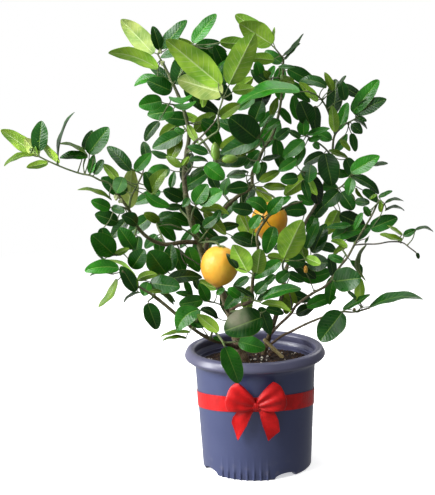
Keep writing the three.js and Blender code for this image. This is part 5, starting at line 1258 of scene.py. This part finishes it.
POT_TURNS = 360
RIB_PROUD = 2.0
RIB_HEIGHT = 12.5
profile = pot_profile()
angles = np.arange(POT_TURNS) / POT_TURNS * 2 * np.pi
radius, height = (np.repeat(profile[:, i:i + 1], POT_TURNS, 1) for i in (0, 1))
arches = (angles + np.pi / 2 - FOOT_TURN - np.pi / FOOT_ARCHES) % (2 * np.pi / FOOT_ARCHES)
arches = np.minimum(arches, 2 * np.pi / FOOT_ARCHES - arches) * wall_radius(0)
lifted = ARCH_HEIGHT * np.sqrt(np.clip(1 - (arches / (ARCH_WIDTH / 2)) ** 2, 0, 1))
ring = (radius > wall_radius(0) - FOOT_WIDTH - 0.5) & (height < 12)
height = np.where(ring & (radius < RIM_RADIUS - 20),
                  np.maximum(height, lifted + height * (1 - lifted / 14)), height)
for i in range(FOOT_RIBS):
    at = -np.pi / 2 + FOOT_TURN + (i - (FOOT_RIBS - 1) / 2) * RIB_SPACING
    near = np.abs((angles - at + np.pi) % (2 * np.pi) - np.pi) * wall_radius(0)
    outside = (profile[:, 0] > wall_radius(0) - 1.2) & (profile[:, 1] < RIB_HEIGHT)
    radius = radius + RIB_PROUD * outside[:, None] * np.exp(-(near / 1.3) ** 4)[None]
points = np.stack([radius * np.cos(angles), radius * np.sin(angles), height], -1)
out_of_round = 1 + 0.0015 * np.cos(2 * angles + 0.7)
points[..., :2] *= out_of_round[None, :, None]
WALL_BLUE = np.array([0.050, 0.062, 0.140])
# painted light: the rim's top, and the inside wall at 0.65, are tinted lighter and greyer than the blue wall
RIM_AND_INSIDE_PAINTED_LIGHT = np.array([0.090, 0.090, 0.150])
painted_light_share = np.clip((height - (POT_HEIGHT - RIM_LIP - 6)) / 8, 0, 1)[..., None]
painted_light_share = np.where((np.arange(len(profile)) > len(profile) - 12)[:, None, None], 0.65, painted_light_share)
uv = np.stack(np.broadcast_arrays(angles[None] / (2 * np.pi), height / POT_HEIGHT), -1)
maker = Maker(["pot_plastic"])
maker.grid(points, "pot_plastic", WALL_BLUE * (1 - painted_light_share) + RIM_AND_INSIDE_PAINTED_LIGHT * painted_light_share, uv, close=True)
maker.grid(points[[-1, 0]], "pot_plastic", WALL_BLUE, uv[[-1, 0]], close=True)
maker.piece("pot_moulded", "pot_plastic", ["pot"], 42)

# ---------------------------------------------------------------- soil
SOIL_RINGS, SOIL_TURNS = 60, 150
SOIL_HUB = 0.012                 # where the first ring is, as a share of the edge's radius
CRUMBS = 430
soil_edge = wall_radius(SOIL_TOP) - WALL - 1.6
share = np.linspace(SOIL_HUB, 1, SOIL_RINGS)[:, None]
turn = np.linspace(0, 2 * np.pi, SOIL_TURNS, endpoint=False)[None]
x, y = share * soil_edge * np.cos(turn), share * soil_edge * np.sin(turn)
lumps = np.array([[rough([a, b, 3], 14) * 2.4 + rough([a, b, 9], 4.2) * 1.5 + rough([a, b, 5], 1.9) * 0.8
                   for a, b in zip(*row)] for row in zip(x, y)])
mound = 2.4 * (1 - share ** 2) + 3.0 * np.exp(-((x + 17) ** 2 + (y - 2) ** 2) / 260)
surface = SOIL_TOP - 1.0 + mound + lumps * (1 - 0.6 * share ** 8)
skirt = np.stack([x[-1] * 0.995, y[-1] * 0.995, surface[-1] - 26], -1)[None]
soil = np.concatenate([np.stack([x, y, surface], -1), skirt])
uv = np.repeat(np.repeat(np.linspace(0, 1, len(soil))[:, None, None], SOIL_TURNS, 1), 2, 2)
maker = Maker(["potting_mix"])
maker.grid(soil, "potting_mix", (0.012, 0.0065, 0.0042), uv, close=True)
maker.piece("soil_surface", "potting_mix", ["soil"], 80)


def soil_height(px, py):
    r = min(math.hypot(px, py) / soil_edge, 1)
    i = min(int(round((r - SOIL_HUB) / (1 - SOIL_HUB) * (SOIL_RINGS - 1))), SOIL_RINGS - 1)
    j = int(round(math.atan2(py, px) / (2 * np.pi) * SOIL_TURNS)) % SOIL_TURNS
    return surface[max(i, 0), j]


def chip(maker, at, size, tint, spin):
    """A crumb: an icosahedron-like lump with uneven corners."""
    rings, columns = 5, 7
    a = np.linspace(0, np.pi, rings)[:, None]
    b = np.linspace(0, 2 * np.pi, columns, endpoint=False)[None]
    ball = np.stack([np.sin(a) * np.cos(b), np.sin(a) * np.sin(b), np.cos(a) + 0 * b], -1)
    ball *= (1 + 0.35 * (rng.random(ball.shape[:2]) - 0.5))[..., None] * size
    ball = ball @ np.array(Quaternion((0.3, 0.5, spin), spin * 5).normalized().to_matrix())
    maker.grid(ball + at, "grains", tint, np.stack(np.broadcast_arrays(b, a), -1), close=True, flip=True)


maker = Maker(["grains"])
for i in range(CRUMBS):
    r, turn_at = soil_edge * 0.97 * math.sqrt(rng.random()), rng.random() * 2 * np.pi
    px, py = r * math.cos(turn_at), r * math.sin(turn_at)
    white = i % 5 == 0
    size = np.array([1, 1, 1]) * (1.0 + 1.3 * rng.random()) if white else np.array(
        [2.2 + 3.2 * rng.random(), 1.1 + rng.random(), 0.8])
    tint = np.array([0.80, 0.76, 0.66] if white else [0.085, 0.042, 0.018]) * (0.6 + 0.7 * rng.random())
    chip(maker, [px, py, soil_height(px, py) + 0.25 * size[2]], size, tint, rng.random())
maker.piece("soil_crumbs", "potting_mix", [], 30)

# ---------------------------------------------------------------- ribbon
RED = np.array([0.600, 0.0022, 0.0030])


def cloth(name, middle, out, nodes, flat):
    """A sheet from its middle surface (rows by columns) and the way it faces."""
    rows, columns = middle.shape[:2]
    a, w = patch(np.linspace(0, flat[1], rows), np.linspace(0, 1, columns))
    maker = Maker(["ribbon_satin"])
    maker.slab(middle + out * RIBBON_THICK / 2, middle - out * RIBBON_THICK / 2,
               ("ribbon_satin", "ribbon_satin"), (RED, RED * 0.9), np.stack([w, a], -1))
    piece = maker.piece(name, "ribbon_satin", nodes, 60)


def facing(middle):
    """Unit normals of a patch of points."""
    normal = np.cross(np.gradient(middle, axis=0), np.gradient(middle, axis=1))
    return normal / np.maximum(np.linalg.norm(normal, axis=-1, keepdims=True), 1e-9)


NUDGE = 1e-3                     # keeps the band's join off the exact back of the pot
KNOT_REACH = 0.42                # how far round from the knot its creases run, in radians
turn, across = patch(np.linspace(-0.5, 0.5, 241) * 2 * np.pi + np.pi / 2 + NUDGE, np.linspace(-1, 1, 15))
from_knot = turn + np.pi / 2 + NUDGE
toward_knot = (np.exp(-(from_knot % (2 * np.pi) / KNOT_REACH) ** 2)
               + np.exp(-(-from_knot % (2 * np.pi) / KNOT_REACH) ** 2))
crease = 0.55 * np.abs(np.sin(5.2 * across + 0.8 * np.sin(3 * turn))) * np.clip(toward_knot, 0, 1)
ripple = 0.16 * np.sin(11 * turn + 2.3 * across)
z = (RIBBON_HEIGHT - RIBBON_TILT * np.sin(turn)
     + across * RIBBON_WIDTH / 2 * (1 - 0.10 * np.clip(toward_knot, 0, 1)))
band_radius = wall_radius(z) + 0.75 + crease + 0.12 * (1 + ripple)
band = np.stack([band_radius * np.cos(turn), band_radius * np.sin(turn), z], -1)
cloth("ribbon_round", band, facing(band), ["ribbon_band"],
      (RIBBON_WIDTH * MM, 2 * math.pi * wall_radius(RIBBON_HEIGHT) * MM))

BOW_BACK = wall_radius(BOW_HEIGHT) + 2.4


def bow_loop(name, hand, node):
    """Out along the back from the knot, round the fold and home along the front."""
    a, w = patch(np.linspace(0, 1, 61), np.linspace(-1, 1, 31))
    phi = np.pi * a
    reach = np.sin(phi) ** 0.85
    out = reach * (BOW_LOOP_LENGTH + 2.5 - 9.5 * np.abs(w) ** 3 + 1.6 * w)
    width = BOW_PINCH + (BOW_WIDTH + 3 - BOW_PINCH) * reach ** 0.62
    pleat = np.clip(1 - reach ** 1.4, 0, 1)
    gap = -np.cos(phi) * np.minimum(1, 1.25 * np.sin(phi) ** 0.55)
    proud = (gap * BOW_LOOP_DEPTH / 2 * (0.70 + 0.30 * np.cos(1.9 * w - 0.3))
             + pleat * 2.3 * np.cos(7.5 * w + hand * 0.8 + 0.5) * np.sin(phi) ** 0.25
             + reach * 1.1 * np.sin(3.2 * w + 4 * a))
    along = np.array([hand * math.cos(BOW_LOOP_RISE), 0, math.sin(BOW_LOOP_RISE)])
    across = np.array([-hand * math.sin(BOW_LOOP_RISE), 0, math.cos(BOW_LOOP_RISE)])
    start = np.array([hand * 3.0, -BOW_BACK - BOW_LOOP_DEPTH / 2, BOW_HEIGHT + 1.5])
    lean = 1.5 * w * reach
    middle = (start + out[..., None] * along + (w * width / 2 + lean)[..., None] * across
              - proud[..., None] * np.array([0, 1, 0]))
    cloth(name, middle, facing(middle), [node], (BOW_WIDTH * MM, 2.25 * BOW_LOOP_LENGTH * MM))


def bow_tail(name, node, spine, widths, cut):
    """From under the knot down to a slanted end; spine is [across, down, proud] points."""
    a, w = patch(np.linspace(0, 1, 31), np.linspace(-1, 1, 17))
    line = catmull(spine, a[:, 0])
    run = np.gradient(line[:, :2], axis=0)
    run /= np.linalg.norm(run, axis=1)[:, None]
    half = np.interp(a, np.linspace(0, 1, len(widths)), widths) / 2
    slant = np.clip((a - 0.55) / 0.45, 0, 1) ** 1.5 * cut * w
    x = line[:, None, 0] - run[:, None, 1] * w * half + run[:, None, 0] * slant
    down = line[:, None, 1] + run[:, None, 0] * w * half + run[:, None, 1] * slant
    proud = line[:, None, 2] + 1.3 * np.sin(4.5 * w + 1.2) * (1 - a) ** 2 + 0.9 * np.sin(2.2 * w + 5 * a)
    height = BOW_HEIGHT - down
    hug = np.sqrt(np.maximum(wall_radius(height) ** 2 - x ** 2, 0)) - wall_radius(height)
    middle = np.stack([x, -(BOW_BACK + proud + 0.6 * hug), height], -1)
    length = np.linalg.norm(np.diff(line[:, :2], axis=0), axis=1).sum()
    cloth(name, middle, -facing(middle), [node], (max(widths) * MM, (length + abs(cut) / 2) * MM))


bow_loop("bow_loop_left_satin", -1, "bow_loop_left")
bow_loop("bow_loop_right_satin", 1, "bow_loop_right")
bow_tail("bow_tail_left_satin", "bow_tail_left",
         [[-6, 2, 4], [-17, 11, 8], [-26, 25, 8], [-34, 42, 6]], [12, 21, 25, 20], -11)
bow_tail("bow_tail_right_satin", "bow_tail_right",
         [[7, 2, 4], [16, 12, 8], [22, 28, 8], [27, 50, 6]], [12, 23, 26, 21], 5)

a, w = patch(np.linspace(-1.9, 1.9, 33), np.linspace(-1, 1, 17))
swell = 1 + 0.05 * np.cos(9 * w) + 0.05 * np.sin(3 * a)
middle = np.stack([w * KNOT_WIDTH / 2 * (0.80 + 0.20 * np.abs(np.sin(a)) ** 2),
                   -(BOW_BACK + KNOT_DEPTH - 3.5 + np.cos(a) * 4.6 * swell * (1 - 0.25 * w ** 4)),
                   BOW_HEIGHT + np.sin(a) * KNOT_HEIGHT / 2 * swell], -1)
cloth("bow_knot_satin", middle, facing(middle), ["bow_knot"], (0.016, 0.023))

# ---------------------------------------------------------------- floor, light and camera
FLOOR = 30.0                     # far enough to meet the white world at the horizon
floor_mesh = bpy.data.meshes.new("floor")
steps = np.linspace(-1, 1, 9) * FLOOR
corners = [(x, y, 0.0) for y in steps for x in steps]
floor_mesh.from_pydata(corners, [], [(9 * r + c, 9 * r + c + 1, 9 * r + c + 10, 9 * r + c + 9)
                                     for r in range(8) for c in range(8)])
floor_mesh.shade_smooth()
floor = in_scene("floor", floor_mesh)
paper = Graph("floor_paper")
place = paper.node("ShaderNodeVectorMath", {0: paper.spot()}, operation="LENGTH").outputs["Value"]
far = paper.band(place, 0.75, 2.2)
near_white = paper.mix(paper.noise(3, 2), rgba(0.86, 0.86, 0.86), rgba(0.90, 0.90, 0.90))
paper.feed(paper.mix(far, rgba(0.52, 0.52, 0.52), rgba(1, 1, 1)), paper.shader.inputs["Emission Color"])
floor_mesh.materials.append(paper.finish(paper.mix(far, near_white, rgba(0, 0, 0)), 0.85,
                                         specular_ior_level=0.0, emission_strength=1.0))
floor.visible_diffuse = False
floor.visible_glossy = False


def area_light(name, at, aim, size, power, colour=(1, 1, 1)):
    data = bpy.data.lights.new(name, "AREA")
    data.shape, data.size, data.size_y = "RECTANGLE", size[0], size[1]
    data.energy, data.color = power, colour
    lamp = in_scene(name, data)
    lamp.location = at
    lamp.rotation_euler = (Vector(aim) - Vector(at)).to_track_quat("-Z", "Y").to_euler()


PLANT_MIDDLE = (0, 0, 0.40)
area_light("key", (-1.9, -1.35, 2.0), PLANT_MIDDLE, (1.2, 1.2), 84)
area_light("side", (-2.3, -0.35, 0.75), (0, 0, 0.25), (0.9, 1.8), 80)
area_light("top", (0.1, 0.3, 2.6), PLANT_MIDDLE, (1.8, 1.8), 40)
area_light("rear", (1.5, 2.3, 1.7), PLANT_MIDDLE, (1.2, 1.2), 14)
area_light("front", (0.4, -2.8, 1.3), PLANT_MIDDLE, (1.2, 1.2), 2)

world = bpy.data.worlds.new("studio")
bpy.context.scene.world = world
world.use_nodes = True
studio = world.node_tree
made = {}
for key, kind in (("ray", "LightPath"), ("where", "TexCoord"), ("split", "SeparateXYZ"), ("side", "MapRange"),
                  ("seen", "Background"), ("shown", "MixShader")):
    made[key] = studio.nodes.new("ShaderNode" + kind)
room_light = studio.nodes["Background"]
studio.links.new(made["where"].outputs["Generated"], made["split"].inputs[0])
studio.links.new(made["split"].outputs["X"], made["side"].inputs["Value"])
for key, value in (("From Min", -0.9), ("From Max", 0.8), ("To Min", 0.75), ("To Max", 0.24)):
    made["side"].inputs[key].default_value = value
studio.links.new(made["side"].outputs[0], room_light.inputs["Strength"])
room_light.inputs["Color"].default_value = (1, 1, 1, 1)
made["seen"].inputs["Color"].default_value = (1, 1, 1, 1)
studio.links.new(made["ray"].outputs["Is Camera Ray"], made["shown"].inputs["Fac"])
studio.links.new(room_light.outputs[0], made["shown"].inputs[1])
studio.links.new(made["seen"].outputs[0], made["shown"].inputs[2])
studio.links.new(made["shown"].outputs[0], studio.nodes["World Output"].inputs["Surface"])
bpy.context.scene.view_settings.view_transform = "Standard"

EYE = Vector((0, -EYE_DISTANCE * MM, EYE_HEIGHT * MM))
AIM = Vector((-0.056, 0, 0.361))
CAMERA_ROLL = 0.028
ahead = (AIM - EYE).normalized()
right = ahead.cross(Vector((0, 0, 1))).normalized()
up = right.cross(ahead)
level, tilt = math.cos(CAMERA_ROLL), math.sin(CAMERA_ROLL)
turned_right, turned_up = level * right - tilt * up, tilt * right + level * up
camera_data = bpy.data.cameras.new("camera")
camera_data.sensor_width = 36
camera_data.lens = 84.6
camera_data.clip_start, camera_data.clip_end = 0.05, 50
camera = in_scene("camera", camera_data)
camera.matrix_world = Matrix((
    (turned_right.x, turned_up.x, -ahead.x, EYE.x),
    (turned_right.y, turned_up.y, -ahead.y, EYE.y),
    (turned_right.z, turned_up.z, -ahead.z, EYE.z),
    (0, 0, 0, 1)))
bpy.context.scene.camera = camera
